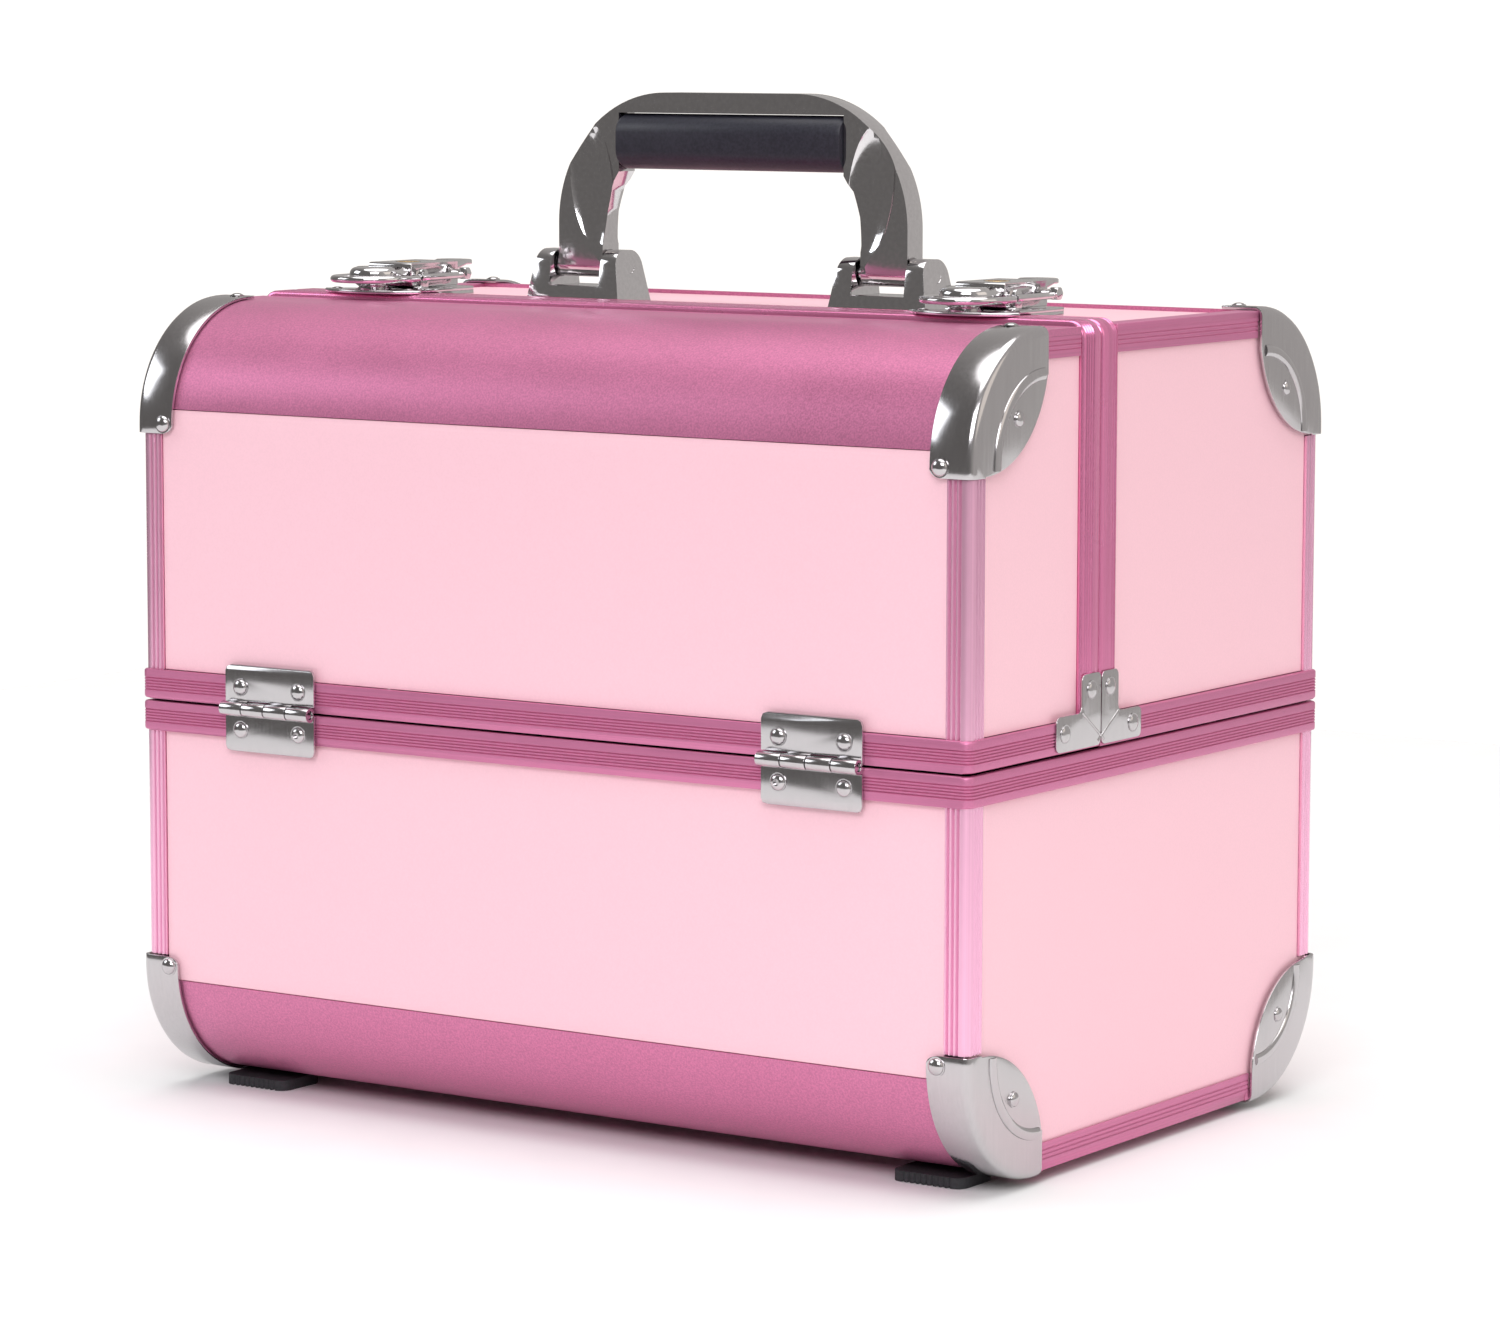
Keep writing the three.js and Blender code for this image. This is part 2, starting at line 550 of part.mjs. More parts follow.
// The base on the rear lid: a plate on a spacer, with two ears that hold the lever's pivot.
function latchBase() {
  const seat = [LATCH.seat, LATCH.seat + LATCH.plate];
  const spacerY = [SPLIT + PLAY / 2 + SPLIT_FRAME.rear + 2 * GAP, STRIKE.back];
  const spacer = box(both(STRIKE.half - 1), spacerY, [TOP_PANEL.top + GAP, seat[0] + GAP]);
  let body = box(both(STRIKE.half), [STRIKE.front, STRIKE.back], seat).add(spacer);
  const near = LEVER.half + PLAY;
  for (const [, sign] of SIDES) {
    const ear = side(sign, near, near + STRIKE.ear);
    const stem = [LEVER.pivotY - STRIKE.earFront, LEVER.pivotY + STRIKE.ear];
    body = body.add(rodX(ear, LEVER.pivotY, LEVER.pivotZ, STRIKE.ear))
      .add(box(ear, stem, [seat[0] + GAP, LEVER.pivotZ]));
  }
  return body.add(rodX(both(near + GAP), LEVER.pivotY, LEVER.pivotZ, STRIKE.pin));
}

// The lever: a box with a rounded nose on the pivot, a thumb tab behind and a knobbed cross pin.
function lever() {
  const x = both(LEVER.half);
  const tabZ = [LEVER.high - TAB.drop - TAB.thick, LEVER.high - TAB.drop];
  const knob = [LEVER_PIN.half - LEVER_PIN.length, LEVER_PIN.half];
  return box(x, [LEVER.pivotY, LEVER.back], [LEVER.low, LEVER.high])
    .add(rodX(x, LEVER.pivotY, LEVER.pivotZ, LEVER.nose, 28))
    .add(box(both(TAB.half), [LEVER.back - 1, TAB.back], tabZ))
    .add(rodX(both(LEVER_PIN.half), LEVER_PIN.y, LEVER.pivotZ, LEVER_PIN.radius, 12))
    .add(rodX(knob, LEVER_PIN.y, LEVER.pivotZ, LEVER_PIN.knob, 12))
    .add(rodX(side(-1, ...knob), LEVER_PIN.y, LEVER.pivotZ, LEVER_PIN.knob, 12))
    .subtract(rodX(both(LEVER.half + 1), LEVER.pivotY, LEVER.pivotZ, STRIKE.pin + GAP))
    .subtract(rodZ(0, KEY.y, [KEY.low - GAP, KEY.high], KEY.radius + GAP));
}

function latches() {
  const key = rodZ(0, KEY.y, [KEY.low, KEY.high], KEY.radius)
    .subtract(box(both(KEY.slot), [KEY.y - KEY.reach, KEY.y + KEY.reach], [KEY.high - KEY.deep, KEY.high + 1]));
  for (const [name, sign] of SIDES) {
    const shift = [sign * LATCH.x, 0, 0];
    add(`latch_keeper_${name}`, keeper().translate(shift), chrome);
    add(`latch_base_${name}`, latchBase().translate(shift), chrome);
    add(`latch_lever_${name}`, lever().translate(shift), chrome);
    add(`latch_key_${name}`, key.translate(shift), brass);
  }
}

// ---------------------------------------------------------------- the case

frames();
const splitEdges = splitFrames();
trims(splitEdges);
panels(splitEdges);
ends(splitEdges);
corners();
feet();
hinges();
trays();
handle();
latches();

export default group;
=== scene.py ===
"""Makeup train case: the finished looks of a rose and pink case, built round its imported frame."""

import json
import math

import bmesh
import bpy
from bpy.props import FloatProperty, FloatVectorProperty, IntProperty, PointerProperty
from mathutils import Matrix, Vector


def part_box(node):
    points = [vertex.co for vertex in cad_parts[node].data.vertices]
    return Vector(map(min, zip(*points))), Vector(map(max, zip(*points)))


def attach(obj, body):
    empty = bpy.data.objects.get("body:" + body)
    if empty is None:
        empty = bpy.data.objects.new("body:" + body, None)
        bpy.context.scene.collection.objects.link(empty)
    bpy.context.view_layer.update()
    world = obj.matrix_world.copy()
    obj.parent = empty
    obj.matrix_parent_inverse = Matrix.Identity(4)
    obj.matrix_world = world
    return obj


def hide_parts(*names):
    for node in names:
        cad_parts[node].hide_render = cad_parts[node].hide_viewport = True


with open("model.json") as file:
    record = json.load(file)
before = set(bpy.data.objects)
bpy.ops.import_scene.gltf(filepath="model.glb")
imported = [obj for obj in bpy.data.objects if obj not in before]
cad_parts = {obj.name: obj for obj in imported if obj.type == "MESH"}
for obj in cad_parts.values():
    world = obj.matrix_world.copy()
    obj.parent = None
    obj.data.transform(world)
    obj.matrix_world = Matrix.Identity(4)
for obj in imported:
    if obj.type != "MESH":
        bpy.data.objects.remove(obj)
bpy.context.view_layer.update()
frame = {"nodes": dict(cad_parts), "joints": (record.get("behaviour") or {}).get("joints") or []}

bl_info = {
    "name": "Makeup Train Case",
    "version": (1, 0, 0),
    "blender": (4, 5, 0),
    "location": "View3D > Sidebar > Train Case",
    "description": "Builds the panels, extrusions, hardware, trays and stage of a makeup train case",
    "category": "Object",
}

# Places and sizes below are in millimetres in the case's own frame; MM turns them into Blender's metres.
MM = 0.001


def span(node):
    """Lowest and highest corners of a CAD node, in millimetres."""
    low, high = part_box(node)
    return [round(v / MM, 3) for v in low], [round(v / MM, 3) for v in high]


BASE_LOW, BASE_HIGH = span("base_frame")
LID_LOW, LID_HIGH = span("front_lid_frame")
HOOP_LOW, HOOP_HIGH = span("front_lid_split_frame")
REAR_HOOP_LOW, REAR_HOOP_HIGH = span("rear_lid_split_frame")
TRIM_LOW, TRIM_HIGH = span("front_lid_trim")
BASE_TRIM_LOW = span("base_trim")[0]
CAP_LOW, CAP_HIGH = span("front_lid_right_corner")
LEAF_LOW, LEAF_HIGH = span("front_hinge_right_upper_leaf")
TRAY_LOW, TRAY_HIGH = span("front_tray")
TOP_LOW, TOP_HIGH = span("rear_lid_top_panel")
HANDLE_LOW, HANDLE_HIGH = span("handle_frame")
GRIP_LOW, GRIP_HIGH = span("handle_grip")
BRACKET_LOW, BRACKET_HIGH = span("handle_bracket_right")
FOOT_LOW, FOOT_HIGH = span("foot_front_right")
KEEPER_LOW, KEEPER_HIGH = span("latch_keeper_right")
STRIKE_LOW, STRIKE_HIGH = span("latch_base_right")
LEVER_LOW, LEVER_HIGH = span("latch_lever_right")
KEY_LOW, KEY_HIGH = span("latch_key_right")

HALF_W = BASE_HIGH[0]
HALF_D = BASE_HIGH[1]
SEAM = (BASE_HIGH[2] + LID_LOW[2]) / 2
SPLIT = (HOOP_HIGH[1] + REAR_HOOP_LOW[1]) / 2
BELT_HEIGHT = 10.5
CASE_MIDDLE = (BASE_TRIM_LOW[2] + TRIM_HIGH[2]) / 2
FLIP_SHIFT = (0, 0, 2 * CASE_MIDDLE)    # puts a piece that is mirrored in Z at the foot of the case
SIDES = ((-1, "left"), (1, "right"))
LIDS = ((1, "front"), (-1, "rear"))
JOINTS = {joint["name"]: joint for joint in frame["joints"]}


def pivot(name):
    """A joint's position, in millimetres."""
    return [v / MM for v in JOINTS[name]["pos_m"]]


# ------------------------------------------------------------------ properties


class CaseSizes(bpy.types.PropertyGroup):
    """Sizes of the surface details that a user may change."""

    belt_grooves: IntProperty(name="Belt Grooves", description="Fine grooves along each belt", default=5, min=1)
    groove_depth: FloatProperty(
        name="Groove Depth", description="Depth of the belts' and posts' grooves", default=0.00042, unit="LENGTH")
    cap_round: FloatProperty(
        name="Cap Edge Radius", description="Radius of the pressed edge of the corner caps", default=0.003,
        unit="LENGTH")
    rivet_radius: FloatProperty(
        name="Rivet Radius", description="Radius of the domed rivet heads", default=0.0028, unit="LENGTH")


class CaseColours(bpy.types.PropertyGroup):
    """Colours of the finishes."""

    laminate: FloatVectorProperty(
        name="Laminate", description="Pearl pink panel skin", subtype="COLOR", size=3, default=(0.95, 0.585, 0.665))
    rose: FloatVectorProperty(
        name="Rose", description="Rose anodised aluminium", subtype="COLOR", size=3, default=(0.62, 0.2, 0.36))
    rose_pale: FloatVectorProperty(
        name="Pale Rose", description="Rose anodised corner posts", subtype="COLOR", size=3,
        default=(0.93, 0.5, 0.69))
    steel: FloatVectorProperty(
        name="Steel", description="Pressed steel of caps, hinges and brackets", subtype="COLOR", size=3,
        default=(0.54, 0.52, 0.53))
    chrome: FloatVectorProperty(
        name="Chrome", description="Plated castings", subtype="COLOR", size=3, default=(0.66, 0.64, 0.65))
    brass: FloatVectorProperty(
        name="Brass", description="Key cylinders", subtype="COLOR", size=3, default=(0.78, 0.52, 0.2))
    grip: FloatVectorProperty(
        name="Grip", description="Soft handle sleeve", subtype="COLOR", size=3, default=(0.022, 0.022, 0.032))
    lining: FloatVectorProperty(
        name="Lining", description="Cloth lining inside", subtype="COLOR", size=3, default=(0.03, 0.027, 0.03))
    rubber: FloatVectorProperty(
        name="Rubber", description="Feet", subtype="COLOR", size=3, default=(0.03, 0.03, 0.034))


def sizes():
    return bpy.context.scene.case_sizes


def colours():
    return bpy.context.scene.case_colours


# ------------------------------------------------------------------ modelling steps


def deselect():
    if bpy.context.mode != "OBJECT":
        bpy.ops.object.mode_set(mode="OBJECT")
    bpy.ops.object.select_all(action="DESELECT")


def activate(obj):
    deselect()
    obj.select_set(True)
    bpy.context.view_layer.objects.active = obj
    return obj


def settle(obj):
    """Applies the object's place, turn and scale to its mesh."""
    activate(obj)
    bpy.ops.object.transform_apply(location=True, rotation=True, scale=True)
    return obj


def named(name):
    obj = bpy.context.active_object
    obj.name = name
    return settle(obj)


def block(name, low, high):
    """A box between two corners."""
    deselect()
    centre = [(a + b) / 2 * MM for a, b in zip(low, high)]
    size = [(b - a) * MM for a, b in zip(low, high)]
    bpy.ops.mesh.primitive_cube_add(size=1, location=centre, scale=size)
    return named(name)


TURN = {"X": (0, math.pi / 2, 0), "Y": (math.pi / 2, 0, 0), "Z": (0, 0, 0)}


def rod(name, centre, radius, length, axis="Z", vertices=32):
    """A round bar along an axis, about its centre."""
    deselect()
    bpy.ops.mesh.primitive_cylinder_add(
        vertices=vertices, radius=radius * MM, depth=length * MM, location=[c * MM for c in centre],
        rotation=TURN[axis])
    return named(name)


def edit(obj):
    activate(obj)
    bpy.ops.object.mode_set(mode="EDIT")
    bpy.ops.mesh.select_mode(type="FACE")
    bpy.ops.mesh.select_all(action="SELECT")


def done():
    bpy.ops.object.mode_set(mode="OBJECT")


def choose(kind, test):
    """Selects, in edit mode, the parts of one kind that pass a test."""
    bpy.ops.mesh.select_mode(type=kind)
    bpy.ops.mesh.select_all(action="DESELECT")
    obj = bpy.context.edit_object
    mesh = bmesh.from_edit_mesh(obj.data)
    mesh.normal_update()
    parts = {"VERT": mesh.verts, "EDGE": mesh.edges, "FACE": mesh.faces}[kind]
    found = [part for part in parts if test(part)]
    if not found:
        raise RuntimeError(f"{obj.name}: nothing to choose")
    for part in found:
        part.select_set(True)
    mesh.select_flush_mode()
    bmesh.update_edit_mesh(obj.data)


def near(a, b, slack=0.02):
    """True if two millimetre values agree; a is in metres."""
    return abs(a / MM - b) < slack


def edge_at(**places):
    """A test for edges whose both ends lie at the given x, y or z."""
    wanted = [("xyz".index(axis), place) for axis, place in places.items()]
    return lambda edge: all(near(v.co[axis], place) for v in edge.verts for axis, place in wanted)


def along(axis, least=1.0):
    """A test for edges that run along an axis by more than a least length."""
    index = "xyz".index(axis)
    return lambda edge: abs(edge.verts[0].co[index] - edge.verts[1].co[index]) > least * MM


def both(*tests):
    """A test that passes where each of these does."""
    return lambda part: all(test(part) for test in tests)


def facing(*normals):
    """A test for faces that point one of these ways."""
    ways = [Vector(n).normalized() for n in normals]
    return lambda face: any(face.normal.dot(way) > 0.9 for way in ways)


def remove_faces(obj, *normals):
    edit(obj)
    choose("FACE", facing(*normals))
    bpy.ops.mesh.delete(type="FACE")
    done()


def round_edges(obj, test, radius, segments):
    edit(obj)
    choose("EDGE", test)
    bpy.ops.mesh.bevel(offset=radius * MM, segments=segments, affect="EDGES", clamp_overlap=False)
    done()


def slice_at(obj, axis, place, drop=None, fill=False):
    """Cuts the mesh across an axis; drop is 'above' or 'below' to take that side away."""
    edit(obj)
    point = [0.0, 0.0, 0.0]
    normal = [0.0, 0.0, 0.0]
    index = "xyz".index(axis)
    point[index] = place * MM
    normal[index] = 1.0
    bpy.ops.mesh.bisect(
        plane_co=point, plane_no=normal, use_fill=fill, clear_outer=drop == "above", clear_inner=drop == "below",
        threshold=1e-6)
    done()


def move_verts(obj, test, shift):
    edit(obj)
    choose("VERT", test)
    bpy.ops.transform.translate(value=[s * MM for s in shift])
    done()


def groove(obj, axis, centres, half, depth, test=lambda v: True):
    """Sinks V grooves across an axis into an open skin."""
    index = "xyz".index(axis)
    for centre in centres:
        for place in (centre - half, centre, centre + half):
            slice_at(obj, axis, place)
    edit(obj)
    choose("VERT", lambda v: any(near(v.co[index], c) for c in centres) and test(v))
    bpy.ops.transform.shrink_fatten(value=-depth * MM)
    done()


def modify(obj, kind, **settings):
    """Adds a modifier, sets it and applies it."""
    activate(obj)
    modifier = obj.modifiers.new(kind.title(), kind)
    for name, value in settings.items():
        setattr(modifier, name, value)
    bpy.ops.object.modifier_apply(modifier=modifier.name)
    return obj


def thicken(obj, wall):
    return modify(obj, "SOLIDIFY", thickness=wall * MM, offset=-1.0, use_even_offset=True, use_quality_normals=True)


def soften(obj, width, segments=2, angle=40):
    return modify(
        obj, "BEVEL", width=width * MM, segments=segments, limit_method="ANGLE", angle_limit=math.radians(angle),
        use_clamp_overlap=True, harden_normals=False)


def combine(obj, tool, operation="DIFFERENCE"):
    """A boolean with another solid, which is used up."""
    modify(obj, "BOOLEAN", object=tool, operation=operation, solver="EXACT")
    bpy.data.objects.remove(tool)
    return obj


def join(parts, name):
    deselect()
    for part in parts:
        part.select_set(True)
    bpy.context.view_layer.objects.active = parts[0]
    bpy.ops.object.join()
    parts[0].name = name
    return parts[0]


def twin(obj, name, x=1, y=1, z=1, shift=(0, 0, 0)):
    """A copy with its own mesh, mirrored across the frame's planes and then shifted."""
    activate(obj)
    bpy.ops.object.duplicate()
    copy = bpy.context.active_object
    copy.name = name
    copy.scale = (x, y, z)
    copy.location = [s * MM for s in shift]
    settle(copy)
    if x * y * z < 0:
        mesh = bmesh.new()
        mesh.from_mesh(copy.data)
        if mesh.calc_volume(signed=True) < 0:
            bmesh.ops.reverse_faces(mesh, faces=mesh.faces)
        mesh.to_mesh(copy.data)
        mesh.free()
    return copy


def rivet(place, way, radius=None, height=1.5, hollow=False):
    """A domed rivet head on a thin collar, pointing a given way."""
    radius = radius or sizes().rivet_radius / MM
    deselect()
    bpy.ops.mesh.primitive_uv_sphere_add(segments=24, ring_count=12, radius=radius * MM)
    head = named("rivet_head")
    slice_at(head, "z", 0.0, drop="below", fill=True)
    collar = rod("rivet_collar", (0, 0, 0.1), radius * 1.12, 0.3, vertices=24)
    head.scale = (1, 1, (height - 0.1) / radius)
    head = settle(head)
    if hollow:
        combine(head, rod("rivet_eye", (0, 0, height), radius * 0.42, height * 1.4, vertices=20))
    head = join([head, collar], "rivet")
    turn = Vector((0, 0, 1)).rotation_difference(Vector(way))
    head.rotation_mode = "QUATERNION"
    head.rotation_quaternion = turn
    head.location = [p * MM for p in place]
    return settle(head)


def finish_piece(obj, name, body, look, nodes=(), angle=32):
    """Names a finished mesh, shades it and hangs it on its body."""
    activate(obj)
    obj.name = name
    obj.data.name = name
    obj.data.materials.clear()
    obj.data.materials.append(look)
    bpy.ops.object.shade_smooth_by_angle(angle=math.radians(angle))
    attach(obj, body)
    if nodes:
        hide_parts(*nodes)
    return obj


# ------------------------------------------------------------------ node groups and materials


def add_node(tree, kind, **settings):
    made = tree.nodes.new(kind)
    for name, value in settings.items():
        setattr(made, name, value)
    return made


def new_group(name, inputs, outputs):
    """A shader node group with its sockets, and its input and output nodes."""
    tree = bpy.data.node_groups.new(name, "ShaderNodeTree")
    for label, kind, value in inputs:
        socket = tree.interface.new_socket(name=label, in_out="INPUT", socket_type=kind)
        socket.default_value = value
    for label, kind in outputs:
        tree.interface.new_socket(name=label, in_out="OUTPUT", socket_type=kind)
    return tree, add_node(tree, "NodeGroupInput"), add_node(tree, "NodeGroupOutput")


def grain_group():
    """Even noise in the object's own space: for speckle, leather and sand-blast grain."""
    if "Case Grain" in bpy.data.node_groups:
        return bpy.data.node_groups["Case Grain"]
    tree, enter, leave = new_group(
        "Case Grain",
        [("Scale", "NodeSocketFloat", 900.0), ("Detail", "NodeSocketFloat", 3.0), ("Low", "NodeSocketFloat", 0.35),
         ("High", "NodeSocketFloat", 0.65)],
        [("Value", "NodeSocketFloat")])
    place = add_node(tree, "ShaderNodeTexCoord")
    noise = add_node(tree, "ShaderNodeTexNoise")
    spread = add_node(tree, "ShaderNodeMapRange", clamp=True)
    tree.links.new(place.outputs["Object"], noise.inputs["Vector"])
    tree.links.new(enter.outputs["Scale"], noise.inputs["Scale"])
    tree.links.new(enter.outputs["Detail"], noise.inputs["Detail"])
    tree.links.new(noise.outputs["Fac"], spread.inputs["Value"])
    tree.links.new(enter.outputs["Low"], spread.inputs["From Min"])
    tree.links.new(enter.outputs["High"], spread.inputs["From Max"])
    tree.links.new(spread.outputs["Result"], leave.inputs["Value"])
    return tree


def brushing_group():
    """Noise drawn out along one axis: for extrusion lines and brushed sheet."""
    if "Case Brushing" in bpy.data.node_groups:
        return bpy.data.node_groups["Case Brushing"]
    tree, enter, leave = new_group(
        "Case Brushing",
        [("Stretch", "NodeSocketVector", (10.0, 1500.0, 1500.0)), ("Low", "NodeSocketFloat", 0.3),
         ("High", "NodeSocketFloat", 0.7)],
        [("Value", "NodeSocketFloat")])
    place = add_node(tree, "ShaderNodeTexCoord")
    scale = add_node(tree, "ShaderNodeVectorMath", operation="MULTIPLY")
    noise = add_node(tree, "ShaderNodeTexNoise")
    noise.inputs["Scale"].default_value = 1.0
    noise.inputs["Detail"].default_value = 2.0
    spread = add_node(tree, "ShaderNodeMapRange", clamp=True)
    tree.links.new(place.outputs["Object"], scale.inputs[0])
    tree.links.new(enter.outputs["Stretch"], scale.inputs[1])
    tree.links.new(scale.outputs["Vector"], noise.inputs["Vector"])
    tree.links.new(noise.outputs["Fac"], spread.inputs["Value"])
    tree.links.new(enter.outputs["Low"], spread.inputs["From Min"])
    tree.links.new(enter.outputs["High"], spread.inputs["From Max"])
    tree.links.new(spread.outputs["Result"], leave.inputs["Value"])
    return tree


def place_group(tree, group, **values):
    made = add_node(tree, "ShaderNodeGroup", node_tree=group)
    for name, value in values.items():
        made.inputs[name].default_value = value
    return made


def remap(tree, value, low, high):
    """Spreads a 0 to 1 value between two numbers."""
    made = add_node(tree, "ShaderNodeMapRange")
    made.inputs["To Min"].default_value = low
    made.inputs["To Max"].default_value = high
    tree.links.new(value, made.inputs["Value"])
    return made.outputs["Result"]


def mix_colour(tree, fac, first, second):
    made = add_node(tree, "ShaderNodeMix", data_type="RGBA")
    made.inputs["A"].default_value = (*first, 1.0)
    made.inputs["B"].default_value = (*second, 1.0)
    tree.links.new(fac, made.inputs["Factor"])
    return made.outputs["Result"]


def bumped(tree, shader, value, strength, distance):
    made = add_node(tree, "ShaderNodeBump")
    made.inputs["Strength"].default_value = strength
    made.inputs["Distance"].default_value = distance * MM
    tree.links.new(value, made.inputs["Height"])
    tree.links.new(made.outputs["Normal"], shader.inputs["Normal"])


def shade_of(colour, factor):
    return tuple(min(1.0, c * factor) for c in colour)


def look(name, colour, metallic=0.0, rough=(0.4, 0.5), tint=(0.94, 1.06), grain=None, brush=None, smudge=60.0,
         bump=(0.2, 0.05), coat=0.0, specular=0.5, sheen=0.0):
    """A finish: grain or brushing varies the colour and the bump, and wide smudges vary the roughness."""
    if name in bpy.data.materials:
        return bpy.data.materials[name]
    material = bpy.data.materials.new(name)
    material.use_nodes = True
    tree = material.node_tree
    shader = tree.nodes["Principled BSDF"]
    shader.inputs["Metallic"].default_value = metallic
    shader.inputs["Coat Weight"].default_value = coat
    shader.inputs["Coat Roughness"].default_value = 0.2
    shader.inputs["Specular IOR Level"].default_value = specular
    shader.inputs["Sheen Weight"].default_value = sheen
    if brush:
        pattern = place_group(tree, brushing_group(), Stretch=brush).outputs["Value"]
    else:
        pattern = place_group(tree, grain_group(), Scale=grain or 900.0).outputs["Value"]
    clouds = place_group(tree, grain_group(), Scale=smudge, Detail=4.0).outputs["Value"]
    colour_value = mix_colour(tree, pattern, shade_of(colour, tint[0]), shade_of(colour, tint[1]))
    tree.links.new(colour_value, shader.inputs["Base Color"])
    blend = add_node(tree, "ShaderNodeMath", operation="MULTIPLY_ADD")
    blend.inputs[1].default_value = 0.5
    half = add_node(tree, "ShaderNodeMath", operation="MULTIPLY")
    half.inputs[1].default_value = 0.5
    tree.links.new(pattern, half.inputs[0])
    tree.links.new(clouds, blend.inputs[0])
    tree.links.new(half.outputs["Value"], blend.inputs[2])
    tree.links.new(remap(tree, blend.outputs["Value"], *rough), shader.inputs["Roughness"])
    bumped(tree, shader, pattern, *bump)
    return material


def laminate():
    """Pearl pink laminate: a satin skin with a very fine tooth."""
    return look("Pearl Laminate", colours().laminate, rough=(0.42, 0.52), tint=(0.985, 1.015), grain=1400.0,
                smudge=12.0, bump=(0.12, 0.03), coat=0.12)


def rose_along(axis):
    """Rose anodised extrusion, with draw lines along one axis."""
    stretch = {"x": (6.0, 1800.0, 1800.0), "y": (1800.0, 6.0, 1800.0), "z": (1800.0, 1800.0, 6.0)}[axis]
    return look(f"Rose Anodised {axis.upper()}", colours().rose, metallic=0.6, rough=(0.36, 0.46),
                tint=(0.94, 1.06), brush=stretch, smudge=25.0, bump=(0.1, 0.03))


def rose_blasted():
    """Rose anodised aluminium with a fine sand-blast sparkle, for the curved extrusions."""
    return look("Rose Blasted", colours().rose, metallic=0.6, rough=(0.34, 0.46), tint=(0.88, 1.12), grain=1500.0,
                smudge=25.0, bump=(0.25, 0.04))


def rose_hoops():
    """Rose anodised hoops, polished a little brighter than the belts."""
    return look("Rose Hoops", colours().rose, metallic=0.8, rough=(0.22, 0.3), tint=(1.2, 1.45),
                brush=(3.0, 900.0, 3.0), smudge=25.0, bump=(0.08, 0.03))


def rose_posts():
    """The paler rose of the fluted posts."""
    return look("Rose Posts", colours().rose_pale, metallic=0.72, rough=(0.2, 0.28), tint=(0.86, 1.07),
                brush=(900.0, 900.0, 1.0), smudge=25.0, bump=(0.1, 0.04))


def steel():
    """Bright pressed steel with a drawn grain."""
    return look("Pressed Steel", colours().steel, metallic=1.0, rough=(0.13, 0.2), tint=(0.97, 1.03),
                brush=(1200.0, 1200.0, 60.0), smudge=60.0, bump=(0.04, 0.02))


def chrome():
    """Plated castings: nearly a mirror, with faint pits."""
    return look("Plated Chrome", colours().chrome, metallic=1.0, rough=(0.06, 0.13), tint=(0.97, 1.03), grain=700.0,
                smudge=45.0, bump=(0.04, 0.02))


def brass():
    return look("Turned Brass", colours().brass, metallic=1.0, rough=(0.2, 0.3), grain=1500.0, bump=(0.1, 0.02))


def soft_grip():
    """Moulded soft sleeve with a leathery sand-blast grain."""
    return look("Soft Grip", colours().grip, rough=(0.38, 0.5), tint=(0.85, 1.25), grain=1100.0, smudge=30.0,
                bump=(0.25, 0.05), specular=0.4)


def lining_cloth():
    return look("Lining Cloth", colours().lining, rough=(0.85, 0.95), tint=(0.7, 1.5), grain=1800.0, smudge=15.0,
                bump=(0.6, 0.15), specular=0.2, sheen=0.4)


def tray_plastic():
    return look("Tray Plastic", (0.02, 0.019, 0.021), rough=(0.45, 0.6), tint=(0.8, 1.3), grain=1300.0, smudge=20.0,
                bump=(0.35, 0.08))


def foot_rubber():
    return look("Foot Rubber", colours().rubber, rough=(0.7, 0.85), tint=(0.8, 1.3), grain=900.0, bump=(0.4, 0.1))


# ------------------------------------------------------------------ panels


PANEL_NODES = (
    "base_front_panel", "base_rear_panel", "base_left_panel", "base_right_panel", "base_bottom_panel",
    "front_lid_panel", "front_lid_left_end", "front_lid_right_end", "rear_lid_panel", "rear_lid_top_panel",
    "rear_lid_left_end", "rear_lid_right_end",
)
ARM_NODES = tuple(f"{lid}_tray_arm_{side}" for lid in ("front", "rear") for side in ("left", "right"))


def dress(node, finish):
    """Gives a CAD node its finish."""
    obj = frame["nodes"][node]
    obj.data.materials.clear()
    obj.data.materials.append(finish)


# ------------------------------------------------------------------ belts, posts and split frames


BELT_CORNER = 3.4
BELT_WALL = 2.6
BELT_EDGE = 0.9                         # radius of a belt's long edges
GROOVE_PITCH = 1.05
POST_WIDTH = 9
POST_WALL = 2.0
FLUTE_STEPS = (1.0, 2.9, 4.8)           # each flute's distance from the post's edge
FLUTE_HALF = 0.7
FLUTE_DEPTH = 2.4                       # times the belts' groove depth
HOOP_CORNER = 6
HOOP_WALL = 4.6


def belt(name, low_z, high_z, from_y, to_y):
    """A belt round the case between two Y places, with fine grooves along its middle."""
    skin = block(name, (-HALF_W, -HALF_D, low_z), (HALF_W, HALF_D, high_z))
    remove_faces(skin, (0, 0, 1), (0, 0, -1))
    round_edges(skin, along("z"), BELT_CORNER, 5)
    if from_y > -HALF_D:
        slice_at(skin, "y", from_y, drop="below")
    if to_y < HALF_D:
        slice_at(skin, "y", to_y, drop="above")
    count = sizes().belt_grooves
    middle = (low_z + high_z) / 2
    centres = [middle + (i - (count - 1) / 2) * GROOVE_PITCH for i in range(count)]
    groove(skin, "z", centres, 0.3, sizes().groove_depth / MM)
    thicken(skin, BELT_WALL)
    for z in (low_z, high_z):
        outer = lambda e, z=z: all(
            near(v.co.z, z) and (abs(v.co.x) > (HALF_W - 1.1) * MM or abs(v.co.y) > (HALF_D - 1.1) * MM)
            for v in e.verts) and not near(e.verts[0].co.y, from_y) | near(e.verts[0].co.y, to_y)
        round_edges(skin, outer, BELT_EDGE, 3)
    return skin


